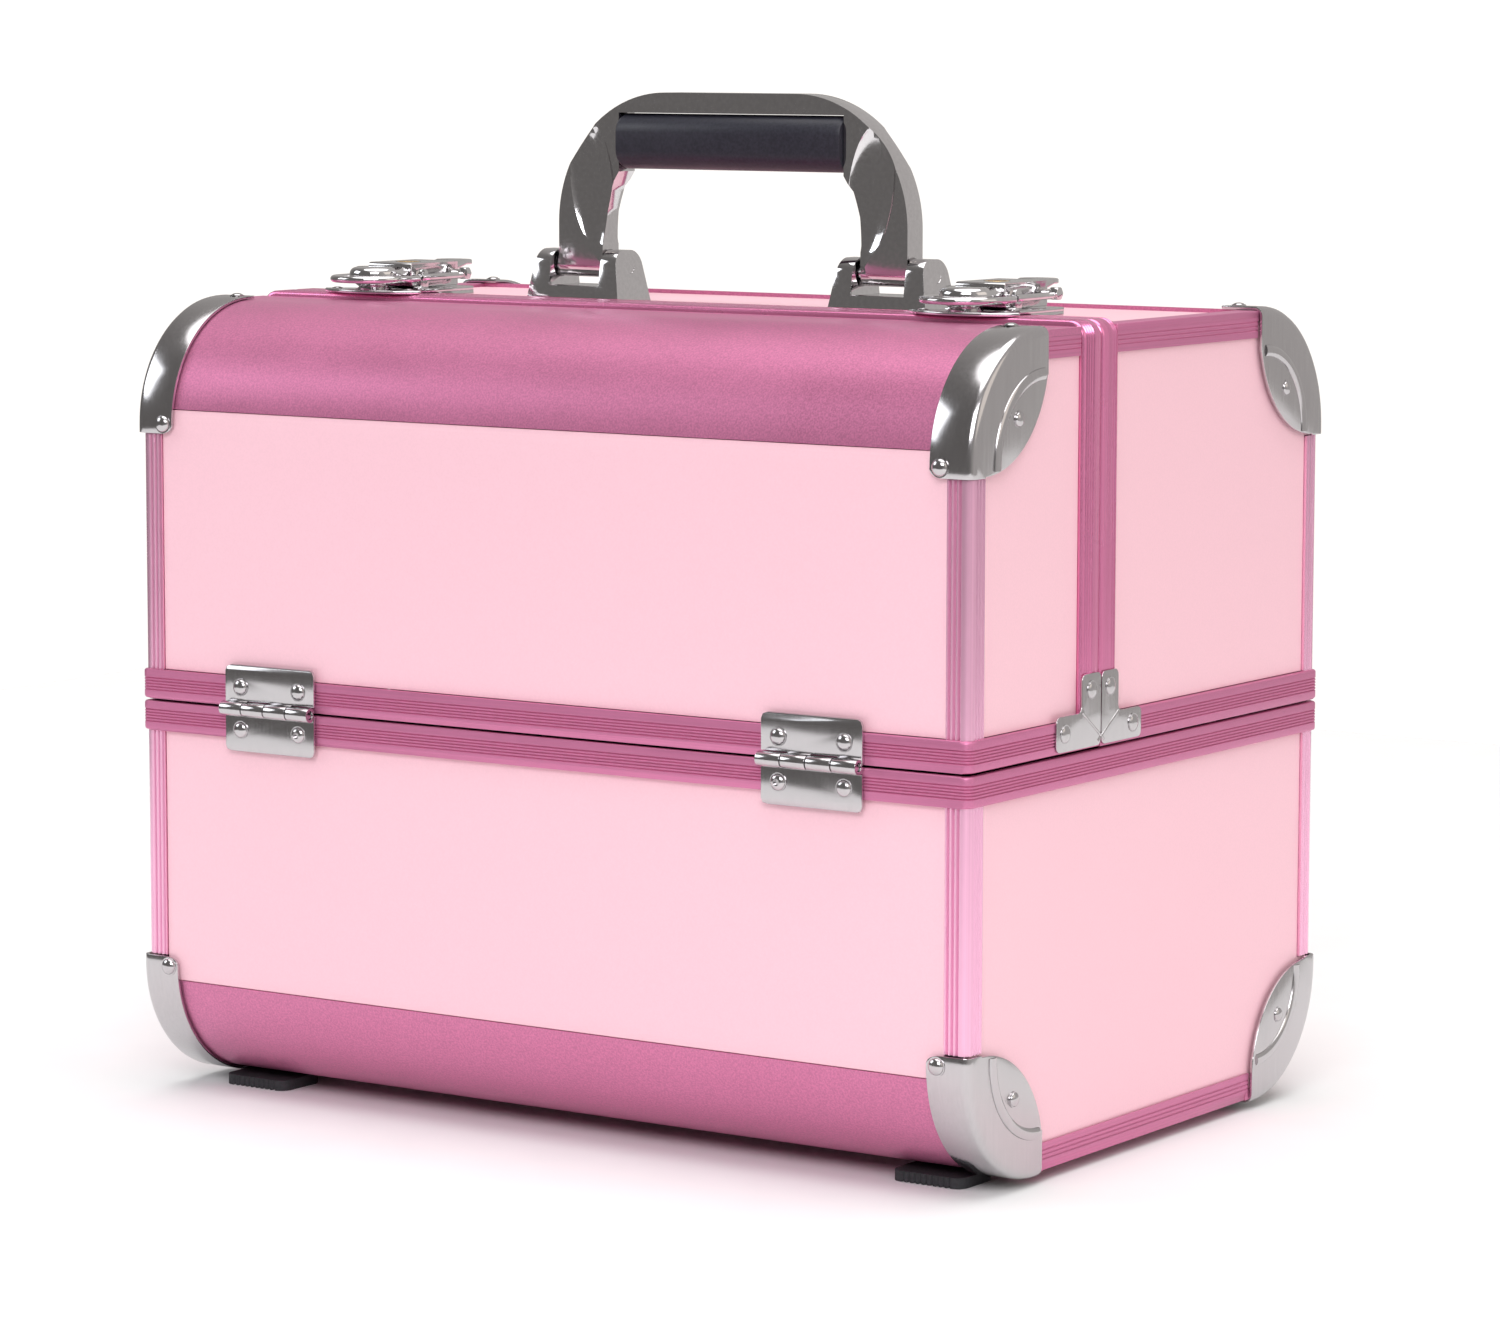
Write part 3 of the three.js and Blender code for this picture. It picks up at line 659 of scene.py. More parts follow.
def post(low_z, high_z):
    """The front right corner post: two fluted faces round an outer corner."""
    far_x = HALF_W - 1
    far_y = -HALF_D + 1
    skin = block("post", (far_x - POST_WIDTH, far_y, low_z), (far_x, far_y + POST_WIDTH, high_z))
    remove_faces(skin, (0, 0, 1), (0, 0, -1), (-1, 0, 0), (0, 1, 0))
    round_edges(skin, edge_at(x=far_x, y=far_y), 3.2, 6)
    depth = sizes().groove_depth / MM * FLUTE_DEPTH
    front = [far_x - POST_WIDTH + s for s in FLUTE_STEPS]
    side = [far_y + POST_WIDTH - s for s in FLUTE_STEPS]
    groove(skin, "x", front, FLUTE_HALF, depth, lambda v: near(v.co.y, far_y))
    groove(skin, "y", side, FLUTE_HALF, depth, lambda v: near(v.co.x, far_x))
    thicken(skin, POST_WALL)
    return skin


def hoop(name, low, high, centres, depth):
    """A split frame: a U upside down, with flutes of one depth along its length."""
    skin = block(name, low, high)
    remove_faces(skin, (0, 0, -1), (0, 1, 0), (0, -1, 0))
    corners = lambda e: abs(e.verts[0].co.x) == abs(e.verts[1].co.x)
    round_edges(skin, both(edge_at(z=high[2]), along("y"), corners), HOOP_CORNER, 6)
    groove(skin, "y", centres, 0.5, depth)
    thicken(skin, HOOP_WALL)
    for y in (low[1], high[1]):
        outer = lambda e, y=y: all(
            near(v.co.y, y) and (abs(v.co.x) > (high[0] - 2.0) * MM or v.co.z > (high[2] - 2.0) * MM)
            for v in e.verts) and not all(near(v.co.z, low[2]) for v in e.verts)
        round_edges(skin, outer, 1.3, 3)
    return skin


def build_belts():
    finish = rose_along("x")
    base_low = BASE_HIGH[2] - BELT_HEIGHT
    lid_high = LID_LOW[2] + BELT_HEIGHT
    rows = [
        ("base_belt", base_low, BASE_HIGH[2], -HALF_D, HALF_D, "base", "base_frame"),
        ("front_lid_belt", LID_LOW[2], lid_high, -HALF_D, LID_HIGH[1], "front_lid", "front_lid_frame"),
        ("rear_lid_belt", LID_LOW[2], lid_high, 2 * SPLIT - LID_HIGH[1], HALF_D, "rear_lid", "rear_lid_frame"),
    ]
    for name, low, high, start, end, body, node in rows:
        finish_piece(belt(name, low, high, start, end), name, body, finish, [node])


def build_posts():
    finish = rose_posts()
    upper = post(LID_LOW[2] + BELT_HEIGHT - 0.2, LID_HIGH[2])
    lower = post(BASE_LOW[2], BASE_HIGH[2] - BELT_HEIGHT + 0.2)
    for x, side in SIDES:
        for y, lid in LIDS:
            finish_piece(twin(upper, "post", x=x, y=y), f"{lid}_lid_{side}_post", f"{lid}_lid", finish)
            finish_piece(twin(lower, "post", x=x, y=y), f"base_{lid}_{side}_post", "base", finish)
    bpy.data.objects.remove(upper)
    bpy.data.objects.remove(lower)


def build_split_frames():
    finish = rose_hoops()
    width = HOOP_HIGH[1] - HOOP_LOW[1]
    flutes = [HOOP_LOW[1] + width * share for share in (0.16, 0.29, 0.42, 0.55)]
    front = hoop("front_split_frame", HOOP_LOW, HOOP_HIGH, flutes, 0.75)
    finish_piece(front, "front_lid_hoop", "front_lid", finish, ["front_lid_split_frame"])
    rear_width = REAR_HOOP_HIGH[1] - REAR_HOOP_LOW[1]
    line = [REAR_HOOP_HIGH[1] - rear_width * share for share in (0.16, 0.3)]
    rear = hoop("rear_split_frame", REAR_HOOP_LOW, REAR_HOOP_HIGH, line, 0.5)
    finish_piece(rear, "rear_lid_hoop", "rear_lid", finish, ["rear_lid_split_frame"])


# ------------------------------------------------------------------ curved extrusions


CURVE_RADIUS = 43.0
TRIM_WALL = 2.4
STRIP = 9.5
STRIP_LINES = (6.9, 5.4, 3.9)           # each drawn line's distance from the edge
BASE_CURVE_EDGE = -70.3                 # where the curve ends on the case's underside, by Y
RAIL_END = 75.7


def curve_skin(name, edge_y, cut_z):
    """A quarter-round extrusion at the upper front, from a cut height up to an edge on the top."""
    low = (TRIM_LOW[0], TRIM_LOW[1], cut_z - 20)
    high = (TRIM_HIGH[0], edge_y, TRIM_HIGH[2])
    skin = block(name, low, high)
    remove_faces(skin, (0, 0, -1), (0, 1, 0), (1, 0, 0), (-1, 0, 0))
    round_edges(skin, edge_at(y=low[1], z=high[2]), CURVE_RADIUS, 28)
    slice_at(skin, "z", cut_z, drop="below")
    thicken(skin, TRIM_WALL)
    return skin


def strip(name, from_y, to_y):
    """The flat edge of an extrusion on the right side face, with three drawn lines."""
    face_x = TRIM_HIGH[0]
    crest = TRIM_HIGH[2] - TRIM_WALL - 0.05
    skin = block(name, (face_x - 1.2, from_y, TRIM_HIGH[2] - STRIP), (face_x, to_y, crest))
    remove_faces(skin, (0, 1, 0), (0, -1, 0), (-1, 0, 0), (0, 0, -1))
    top = TRIM_HIGH[2]
    groove(skin, "z", [top - line for line in STRIP_LINES], 0.35, 0.3, lambda v: near(v.co.x, face_x))
    thicken(skin, 0.6)
    return skin


def build_curved_trims():
    finish = rose_blasted()
    drawn = rose_along("y")
    cut = TRIM_LOW[2]
    inner = CAP_HIGH[1] + 0.3
    front_edge = HOOP_LOW[1] - 0.5
    rear_edge = REAR_HOOP_HIGH[1] + 0.3
    front = curve_skin("front_curve", front_edge, cut)
    finish_piece(front, "front_lid_curve", "front_lid", finish, ["front_lid_trim"])
    quarter = curve_skin("quarter", TRIM_LOW[1] + CURVE_RADIUS + 1, cut)
    rear = twin(quarter, "rear", y=-1)
    finish_piece(rear, "rear_lid_curve", "rear_lid", finish, ["rear_lid_trim"])
    low = curve_skin("low", BASE_CURVE_EDGE, cut)
    base_front = twin(low, "base_front", z=-1, shift=FLIP_SHIFT)
    base_rear = twin(low, "base_rear", y=-1, z=-1, shift=FLIP_SHIFT)
    finish_piece(base_front, "base_front_curve", "base", finish, ["base_trim"])
    finish_piece(base_rear, "base_rear_curve", "base", finish)
    bpy.data.objects.remove(quarter)
    bpy.data.objects.remove(low)
    short = strip("short", inner, front_edge)
    long = strip("long", rear_edge, -inner)
    base = strip("base", inner, -inner)
    rail_low = (TOP_HIGH[0] + 0.3, rear_edge, TOP_LOW[2])
    rail_high = (TRIM_HIGH[0] - 0.1, RAIL_END, TRIM_HIGH[2])
    rail = soften(block("rail", rail_low, rail_high), 0.5)
    sill = soften(block("sill", (rail_low[0], BASE_CURVE_EDGE + 0.3, rail_low[2]), rail_high), 0.5)
    for x, side in SIDES:
        finish_piece(twin(short, "s", x=x), f"front_lid_{side}_strip", "front_lid", drawn)
        finish_piece(twin(long, "s", x=x), f"rear_lid_{side}_strip", "rear_lid", drawn)
        lower = twin(base, "s", x=x, z=-1, shift=FLIP_SHIFT)
        finish_piece(lower, f"base_{side}_strip", "base", drawn)
        finish_piece(twin(rail, "r", x=x), f"rear_lid_{side}_rail", "rear_lid", drawn)
        finish_piece(twin(sill, "r", x=x, z=-1, shift=FLIP_SHIFT), f"base_{side}_rail", "base", drawn)
    for piece in (short, long, base, rail, sill):
        bpy.data.objects.remove(piece)


# ------------------------------------------------------------------ corner caps and edge brackets


CAP_WALL = 1.1
CAP_CORNER = 44.4                       # radius of the cap's turn round the case's edge
CAP_OUT = 175.4                        # outer face of the caps, by X
CAP_ARC_CENTRE = (-112.0, 279.0)       # Y and Z of the arc that ends the side face
CAP_ARC_RADIUS = 39.5
BEAD_CENTRE = (-76.0, 242.0)           # Y and Z of the middle of the case's long edge curve
BEAD_RADIUS = 29.0
BRACKET_WALL = 0.6
BRACKET_TOP = 169.0
BRACKET_RIVET = 5.6                     # a rivet's distance from the bracket's ends


def cap_bead():
    """The raised bead on a cap's side face, running round the case's edge."""
    deselect()
    bpy.ops.mesh.primitive_torus_add(
        major_segments=96, minor_segments=16, major_radius=BEAD_RADIUS * MM, minor_radius=2.0 * MM,
        location=(0, BEAD_CENTRE[0] * MM, BEAD_CENTRE[1] * MM), rotation=(0, math.pi / 2, 0))
    bead = named("bead")
    bead.scale = (0.45, 1, 1)
    bead = settle(bead)
    bead.location = (CAP_OUT * MM, 0, 0)
    bead = settle(bead)
    slice_at(bead, "x", CAP_OUT - 0.3, drop="below", fill=True)
    slice_at(bead, "y", CAP_HIGH[1] - 2.5, drop="above", fill=True)
    slice_at(bead, "z", CAP_LOW[2] + 1.9, drop="below", fill=True)
    return bead


def corner_cap():
    """The upper front right cap, pressed from sheet round the corner, with its three rivets."""
    low = CAP_LOW
    high = (CAP_OUT, CAP_HIGH[1], CAP_HIGH[2])
    cap = block("cap", low, high)
    remove_faces(cap, (0, 1, 0), (0, 0, -1), (-1, 0, 0))
    round_edges(cap, edge_at(y=low[1], z=high[2]), CAP_CORNER, 28)
    rim = both(edge_at(x=CAP_OUT), lambda e: len(e.link_faces) == 2)
    round_edges(cap, rim, sizes().cap_round / MM, 4)
    thicken(cap, CAP_WALL)
    cutter = block("cutter", (CAP_OUT - 12, CAP_ARC_CENTRE[0], low[2] - 30), (CAP_OUT + 5, high[1] + 20, high[2] - 16))
    disc = rod("disc", (CAP_OUT, CAP_ARC_CENTRE[0], CAP_ARC_CENTRE[1]), CAP_ARC_RADIUS, 60, "X", 128)
    combine(cutter, disc)
    combine(cap, cutter)
    round_edges(cap, edge_at(x=low[0], z=low[2]), 5, 6)
    soften(cap, 0.22, 2, 55)
    heads = [
        rivet((CAP_OUT, -91.5, 257.0), (1, 0, 0), 2.5, 1.4),
        rivet((low[0] + 4.0, low[1], low[2] + 3.6), (0, -1, 0), 3.0, 1.9),
        rivet((low[0] + 4.5, high[1] - 4.5, high[2]), (0, 0, 1), 2.3, 1.1),
    ]
    return join([cap, cap_bead(), *heads], "cap")


def build_corner_caps():
    finish = steel()
    upper = corner_cap()
    for x, side in SIDES:
        for y, lid in LIDS:
            top = twin(upper, "cap", x=x, y=y)
            low = twin(upper, "cap", x=x, y=y, z=-1, shift=FLIP_SHIFT)
            finish_piece(top, f"{lid}_{side}_top_cap", f"{lid}_lid", finish, [f"{lid}_lid_{side}_corner"])
            finish_piece(low, f"{lid}_{side}_low_cap", "base", finish, [f"base_{lid}_{side}_corner"])
    bpy.data.objects.remove(upper)


def ridge(start, end, x, radius=0.55):
    """A low ridge on the side face between two places in Y and Z."""
    run = Vector((0, end[0] - start[0], end[1] - start[1]))
    bar = rod("ridge", (0, 0, 0), radius, run.length, vertices=8)
    bar.rotation_mode = "QUATERNION"
    bar.rotation_quaternion = Vector((0, 0, 1)).rotation_difference(run)
    bar.location = (x * MM, (start[0] + end[0]) / 2 * MM, (start[1] + end[1]) / 2 * MM)
    return settle(bar)


def edge_bracket(from_y, to_y, foot_y, foot_z):
    """An L of pressed steel on the right side face, at the foot of a split frame."""
    low_z = LID_LOW[2] + 0.7
    face = HALF_W + 0.1
    front = face + BRACKET_WALL
    plate = block("bracket", (face, from_y, low_z), (front, to_y, BRACKET_TOP))
    slice_at(plate, "z", foot_z)
    way = -1 if foot_y < from_y else 1
    inner, edge = (to_y, from_y) if way < 0 else (from_y, to_y)
    edit(plate)
    choose("FACE", lambda f: f.normal.y * way > 0.9 and f.calc_center_median().z < foot_z * MM)
    bpy.ops.mesh.extrude_region_move(TRANSFORM_OT_translate={"value": (0, (foot_y - edge) * MM, 0)})
    done()
    corner = lambda e: abs(e.verts[0].co.x - e.verts[1].co.x) > 0.4 * MM and len(e.link_faces) == 2 and (
        e.calc_face_angle(0) > 1)
    round_edges(plate, corner, 2.2, 4)
    soften(plate, 0.22, 2, 50)
    crease = ridge((edge, foot_z), (inner - way * 2.2, low_z + 1.6), front - 0.25)
    upper = rivet((front, (from_y + to_y) / 2, BRACKET_TOP - BRACKET_RIVET), (1, 0, 0), 2.9, 1.15)
    lower = rivet((front, foot_y - way * BRACKET_RIVET, (low_z + foot_z) / 2), (1, 0, 0), 2.9, 1.15)
    return join([plate, crease, upper, lower], "bracket")


def build_edge_brackets():
    finish = steel()
    front = edge_bracket(HOOP_LOW[1] - 0.6, HOOP_HIGH[1] - 0.1, HOOP_LOW[1] - 17.2, 156.3)
    rear = edge_bracket(REAR_HOOP_LOW[1] + 0.1, REAR_HOOP_HIGH[1] + 0.4, REAR_HOOP_HIGH[1] + 16, 154.6)
    for x, side in SIDES:
        finish_piece(twin(front, "b", x=x), f"front_lid_{side}_edge_bracket", "front_lid", finish)
        finish_piece(twin(rear, "b", x=x), f"rear_lid_{side}_edge_bracket", "rear_lid", finish)
    bpy.data.objects.remove(front)
    bpy.data.objects.remove(rear)


# ------------------------------------------------------------------ hinges


KNUCKLES = 4
BARREL = 2.6
BORE = 1.45
HINGE_PIN = 1.2
LEAF_WALL = 1.2
LEAF_LIP = 3.2
LEAF_RIVET_X = 13
LEAF_RIVET_Z = 7.6


def knuckle(start, end, axis_y):
    """One rolled knuckle, open at both ends."""
    roll = rod("knuckle", ((start + end) / 2, axis_y, SEAM), BARREL, end - start, "X", 28)
    combine(roll, rod("bore", ((start + end) / 2, axis_y, SEAM), BORE, end - start + 2, "X", 20))
    return soften(roll, 0.25, 2, 50)


def hinge_leaf(upper):
    """A front right hinge leaf with a turned-in lip, its knuckles and two rivets."""
    start, end = LEAF_LOW[0], LEAF_HIGH[0]
    axis_y = pivot("front_lid_hinge")[1]
    sign = 1 if upper else -1
    face_y = -HALF_D - 0.3
    reach = LEAF_HIGH[2] - SEAM
    z = sorted((SEAM + sign * 0.3, SEAM + sign * reach))
    outer_z = z[1] if upper else z[0]
    plate = block("leaf", (start, face_y - LEAF_WALL, z[0]), (end, face_y, z[1]))
    round_edges(plate, both(edge_at(z=outer_z), along("y", 0.5)), 2.2, 2)
    slice_at(plate, "z", outer_z - sign * LEAF_LIP)
    move_verts(plate, lambda v: near(v.co.z, outer_z), (0, 0.95, 0))
    step = (end - start) / KNUCKLES
    parts = []
    for i in range(KNUCKLES):
        a, b = start + i * step, start + (i + 1) * step
        if (i % 2 == 1) == upper:
            parts.append(knuckle(a + 0.2, b - 0.2, axis_y))
        else:
            room = sorted((SEAM - sign, SEAM + sign * BARREL))
            combine(plate, block("room", (a - 0.2, face_y - 3, room[0]), (b + 0.2, face_y + 2, room[1])))
    soften(plate, 0.3, 2, 50)
    middle = (start + end) / 2
    for x, eye in ((-LEAF_RIVET_X, not upper), (LEAF_RIVET_X, False)):
        place = (middle + x, face_y - LEAF_WALL, SEAM + sign * LEAF_RIVET_Z)
        parts.append(rivet(place, (0, -1, 0), 2.9, 1.7, hollow=eye))
    if not upper:
        parts.append(rod("pin", (middle, axis_y, SEAM), HINGE_PIN, end - start - 1.5, "X", 20))
    return join([plate, *parts], "leaf")


def build_hinges():
    finish = steel()
    for leaf, upper in (("upper", True), ("lower", False)):
        model = hinge_leaf(upper)
        for x, side in SIDES:
            for y, lid in LIDS:
                body = f"{lid}_lid" if upper else "base"
                copy = twin(model, "leaf", x=x, y=y)
                name = f"{lid}_{side}_{leaf}_hinge_leaf"
                finish_piece(copy, name, body, finish, [f"{lid}_hinge_{side}_{leaf}_leaf"])
        bpy.data.objects.remove(model)


# ------------------------------------------------------------------ latches


LATCH_X = (KEY_LOW[0] + KEY_HIGH[0]) / 2
RAIL_X = 14.4
RAIL_R = 1.25
NOSE_R = 9.6
NOSE_HEIGHT = 5.2
LATCH_PLATE = 1.3
EAR_X = 11.6
LEVER_PIN_Y = -9.5
LOOP_END_Y = -35.9


def latch_keeper():
    """Leaf-shaped plate, waisted neck, the front of the loop and the domed nose."""
    x = LATCH_X
    low_y, high_y = KEEPER_LOW[1], KEEPER_HIGH[1]
    mid = (low_y + high_y) / 2
    seat = KEEPER_LOW[2]
    half, wide = 22.0, 8.6
    radius = (half**2 + wide**2) / (2 * wide)
    leaf = rod("leaf", (x, mid + radius - wide, seat + 0.65), radius, 1.3, vertices=160)
    combine(leaf, rod("other", (x, mid - radius + wide, seat + 0.65), radius, 1.5, vertices=160), "INTERSECT")
    slice_at(leaf, "y", high_y, drop="above", fill=True)
    soften(leaf, 0.4, 3, 50)
    neck = rod("neck", (x, mid + 0.6, seat + 2.3), 6.6, 4.0, vertices=40)
    edit(neck)
    choose("FACE", lambda f: abs(f.normal.z) < 0.2)
    bpy.ops.mesh.subdivide(number_cuts=3)
    choose("VERT", lambda v: near(v.co.z, seat + 2.3, 0.3))
    bpy.ops.transform.resize(value=(0.8, 0.8, 1), center_override=(x * MM, (mid + 0.6) * MM, 0))
    done()
    deselect()
    centre_y = mid + 0.5
    bpy.ops.mesh.primitive_torus_add(
        major_segments=48, minor_segments=14, major_radius=RAIL_X * MM, minor_radius=RAIL_R * MM,
        location=(x * MM, centre_y * MM, (seat + 5.2) * MM))
    loop = named("loop")
    slice_at(loop, "y", centre_y, drop="above")
    edit(loop)
    choose("EDGE", lambda e: e.is_boundary)
    bpy.ops.mesh.extrude_region_move(TRANSFORM_OT_translate={"value": (0, (high_y - centre_y) * MM, 0)})
    bpy.ops.mesh.fill()
    done()
    saddle = rod("saddle", (x, mid + 0.6, seat + 4.6), 9.4, 1.6, vertices=56)
    slice_at(saddle, "y", high_y, drop="above", fill=True)
    soften(saddle, 0.3, 2, 50)
    nose_y = low_y + 10.6
    nose = rod("nose", (x, nose_y, KEEPER_HIGH[2] - NOSE_HEIGHT / 2), NOSE_R, NOSE_HEIGHT, vertices=64)
    back_low = (x - NOSE_R, nose_y, KEEPER_HIGH[2] - NOSE_HEIGHT)
    back = block("back", back_low, (x + NOSE_R, high_y + 1, KEEPER_HIGH[2]))
    combine(nose, back, "UNION")
    slice_at(nose, "y", high_y, drop="above", fill=True)
    free = lambda e: not edge_at(y=high_y)(e) and e.calc_face_angle(0) > 1
    round_edges(nose, both(edge_at(z=KEEPER_HIGH[2]), free), 2.4, 5)
    soften(nose, 0.3, 2, 50)
    heads = [rivet((x + s * 16.2, mid, seat + 1.3), (0, 0, 1), 1.7, 0.7) for s in (-1, 1)]
    return join([leaf, neck, loop, saddle, nose, *heads], "keeper")


def latch_base():
    """Plate on a spacer, with pivot ears and two small knuckles at its front end."""
    x = LATCH_X
    seat = KEEPER_LOW[2]
    lever_y, lever_z = pivot("latch_lever_right_lift")[1:]
    plate_high = (STRIKE_HIGH[0], STRIKE_HIGH[1], seat + LATCH_PLATE)
    plate = block("plate", (STRIKE_LOW[0], STRIKE_LOW[1], seat), plate_high)
    round_edges(plate, edge_at(y=STRIKE_HIGH[1], x=STRIKE_LOW[0]), 3, 4)
    round_edges(plate, edge_at(y=STRIKE_HIGH[1], x=STRIKE_HIGH[0]), 3, 4)
    soften(plate, 0.35, 2, 50)
    spacer_low = (x - 14, REAR_HOOP_HIGH[1] + 0.7, TOP_HIGH[2] + 0.2)
    spacer = block("spacer", spacer_low, (x + 14, STRIKE_HIGH[1] - 0.5, seat + 0.3))
    soften(spacer, 0.4, 2, 50)
    parts = [plate, spacer]
    for side in (-1, 1):
        ear_x = x + side * EAR_X
        ear = rod("ear", (ear_x, lever_y, lever_z), 2.4, 2.3, "X", 24)
        stem = block("stem", (ear_x - 1.15, lever_y - 1.9, seat + 0.5), (ear_x + 1.15, lever_y + 2.4, lever_z))
        combine(ear, stem, "UNION")
        soften(ear, 0.25, 2, 50)
        roll = rod("roll", (ear_x, STRIKE_LOW[1] + 0.6, seat + 0.9), 1.5, 3.4, "X", 20)
        soften(roll, 0.3, 2, 50)
        parts += [ear, roll]
    parts.append(rod("pin", (x, lever_y, lever_z), 1.2, 23.6, "X", 20))
    return join(parts, "latch_base")


def latch_lever():
    """Box with side recesses, a rounded nose, a swept thumb tab, the loop's rails and its knobbed pin."""
    x = LATCH_X
    lever_y, lever_z = pivot("latch_lever_right_lift")[1:]
    low = (x - 10, lever_y - 4.3, LEVER_LOW[2])
    high = (x + 10, -7.5, LEVER_HIGH[2])
    box = block("lever", low, high)
    edit(box)
    choose("FACE", facing((1, 0, 0), (-1, 0, 0)))
    bpy.ops.mesh.inset(thickness=1.5 * MM, use_individual=True)
    bpy.ops.transform.shrink_fatten(value=-0.7 * MM)
    done()
    round_edges(box, edge_at(y=low[1], z=low[2]), 3.4, 5)
    round_edges(box, edge_at(y=low[1], z=high[2]), 1.2, 3)
    soften(box, 0.6, 3, 50)
    key_y = (KEY_LOW[1] + KEY_HIGH[1]) / 2
    combine(box, rod("bore", (x, key_y, LEVER_HIGH[2]), (KEY_HIGH[0] - KEY_LOW[0]) / 2 + 0.25, 9.6, vertices=48))
    combine(box, rod("bore", (x, lever_y, lever_z), 1.5, 30, "X", 24))
    tab = block("tab", (x - 7.2, -8.5, high[2] - 3.4), (x + 7.2, LEVER_HIGH[1], high[2] - 1.6))
    slice_at(tab, "y", -4.0)
    slice_at(tab, "y", 1.5)
    move_verts(tab, lambda v: v.co.y > 0, (0, 0, 1.5))
    round_edges(tab, edge_at(x=x - 7.2, y=LEVER_HIGH[1]), 6, 6)
    round_edges(tab, edge_at(x=x + 7.2, y=LEVER_HIGH[1]), 6, 6)
    soften(tab, 0.5, 3, 50)
    pin_y = LEVER_PIN_Y
    length = pin_y - LOOP_END_Y
    parts = [box, tab, rod("pin", (x, pin_y, lever_z), 1.5, 27, "X", 20)]
    for side in (-1, 1):
        rail = rod("rail", (x + side * RAIL_X, pin_y - length / 2, lever_z - 0.6), RAIL_R, length, "Y", 14)
        soften(rail, 0.3, 2, 50)
        knob = rod("knob", (x + side * 14.2, pin_y, lever_z), 2.45, 3.4, "X", 6)
        soften(knob, 0.4, 2, 40)
        parts += [rail, knob]
    return join(parts, "lever")


def latch_key():
    """Brass cylinder with a key slot."""
    centre = [(a + b) / 2 for a, b in zip(KEY_LOW, KEY_HIGH)]
    radius = (KEY_HIGH[0] - KEY_LOW[0]) / 2
    key = rod("key", centre, radius, KEY_HIGH[2] - KEY_LOW[2], vertices=48)
    round_edges(key, edge_at(z=KEY_HIGH[2]), 0.7, 3)
    ring = rod("ring", (centre[0], centre[1], KEY_HIGH[2]), radius * 0.72, 0.5, vertices=40)
    combine(ring, rod("hole", (centre[0], centre[1], KEY_HIGH[2]), radius * 0.6, 1, vertices=40))
    combine(key, ring)
    slot = block("slot", (centre[0] - 0.45, centre[1] - 2.1, KEY_HIGH[2] - 2), (centre[0] + 0.45, centre[1] + 2.1, 300))
    combine(key, slot)
    return key


def build_latches():
    bright = chrome()
    rows = [
        (latch_keeper(), "keeper", "front_lid", bright, "chrome"),
        (latch_base(), "base", "rear_lid", bright, "chrome"),
        (latch_lever(), "lever", None, bright, "chrome"),
        (latch_key(), "key", None, brass(), "brass"),
    ]
    for model, name, body, finish, slot in rows:
        for sign, side in SIDES:
            shift = (0, 0, 0) if sign > 0 else (-2 * LATCH_X, 0, 0)
            copy = twin(model, "latch", shift=shift)
            rides = body or f"latch_{name}_{side}"
            finish_piece(copy, f"{side}_latch_{name}_piece", rides, finish, [f"latch_{name}_{side}"])
        bpy.data.objects.remove(model)


# ------------------------------------------------------------------ handle


BOW_SHOULDER = 47
BOW_LEG = 19.5
DISH_SIZE = (10.5, 4.0, 25)             # half sizes of the hollow in each corner of the bow
DISH_PLACE = (60.0, 327)                # its X and Z
DISH_LEAN = 0.12
PIN_BORE = 2.5
SLOT_X = (54.3, 76.3)                   # the bow's slot in a bracket


def handle_frame():
    """The cast bow: an arch with a web to the grip on each leg and a dished corner."""
    low, high = HANDLE_LOW, HANDLE_HIGH
    leg = high[0] - BOW_LEG
    bow = block("bow", low, high)
    round_edges(bow, both(edge_at(z=high[2]), along("y")), BOW_SHOULDER, 32)
    gap = block("gap", (-leg, low[1] - 5, low[2] - 10), (leg, high[1] + 5, GRIP_LOW[2]))
    for z in (low[2] + 14, low[2] + 24, low[2] + 33):
        slice_at(gap, "z", z)
    for z, inset in ((low[2] + 24, 1.2), (low[2] + 33, 3.6), (GRIP_LOW[2], leg - GRIP_HIGH[0] + 0.4)):
        for sign in (-1, 1):
            move_verts(gap, lambda v, z=z, s=sign: near(v.co.z, z) and v.co.x * s > 0, (-sign * inset, 0, 0))
    combine(bow, gap)
    slot_low = (GRIP_LOW[0] - 0.3, low[1] - 5, GRIP_LOW[2] - 1)
    combine(bow, block("slot", slot_low, (GRIP_HIGH[0] + 0.3, high[1] + 5, GRIP_HIGH[2] + 0.3)))
    for sign in (-1, 1):
        for y in (low[1] - 1.6, high[1] + 1.6):
            deselect()
            bpy.ops.mesh.primitive_uv_sphere_add(segments=48, ring_count=24, radius=1)
            dish = named("dish")
            dish.scale = [half * MM for half in DISH_SIZE]
            dish.rotation_euler = (0, sign * DISH_LEAN, 0)
            dish.location = (sign * DISH_PLACE[0] * MM, y * MM, DISH_PLACE[1] * MM)
            combine(bow, settle(dish))
    round_edges(bow, both(edge_at(z=low[2]), along("x")), 4.4, 5)
    axis = pivot("handle_fold")
    combine(bow, rod("bore", (0, axis[1], axis[2]), PIN_BORE, 200, "X", 24))
    return soften(bow, 1.3, 3, 38)


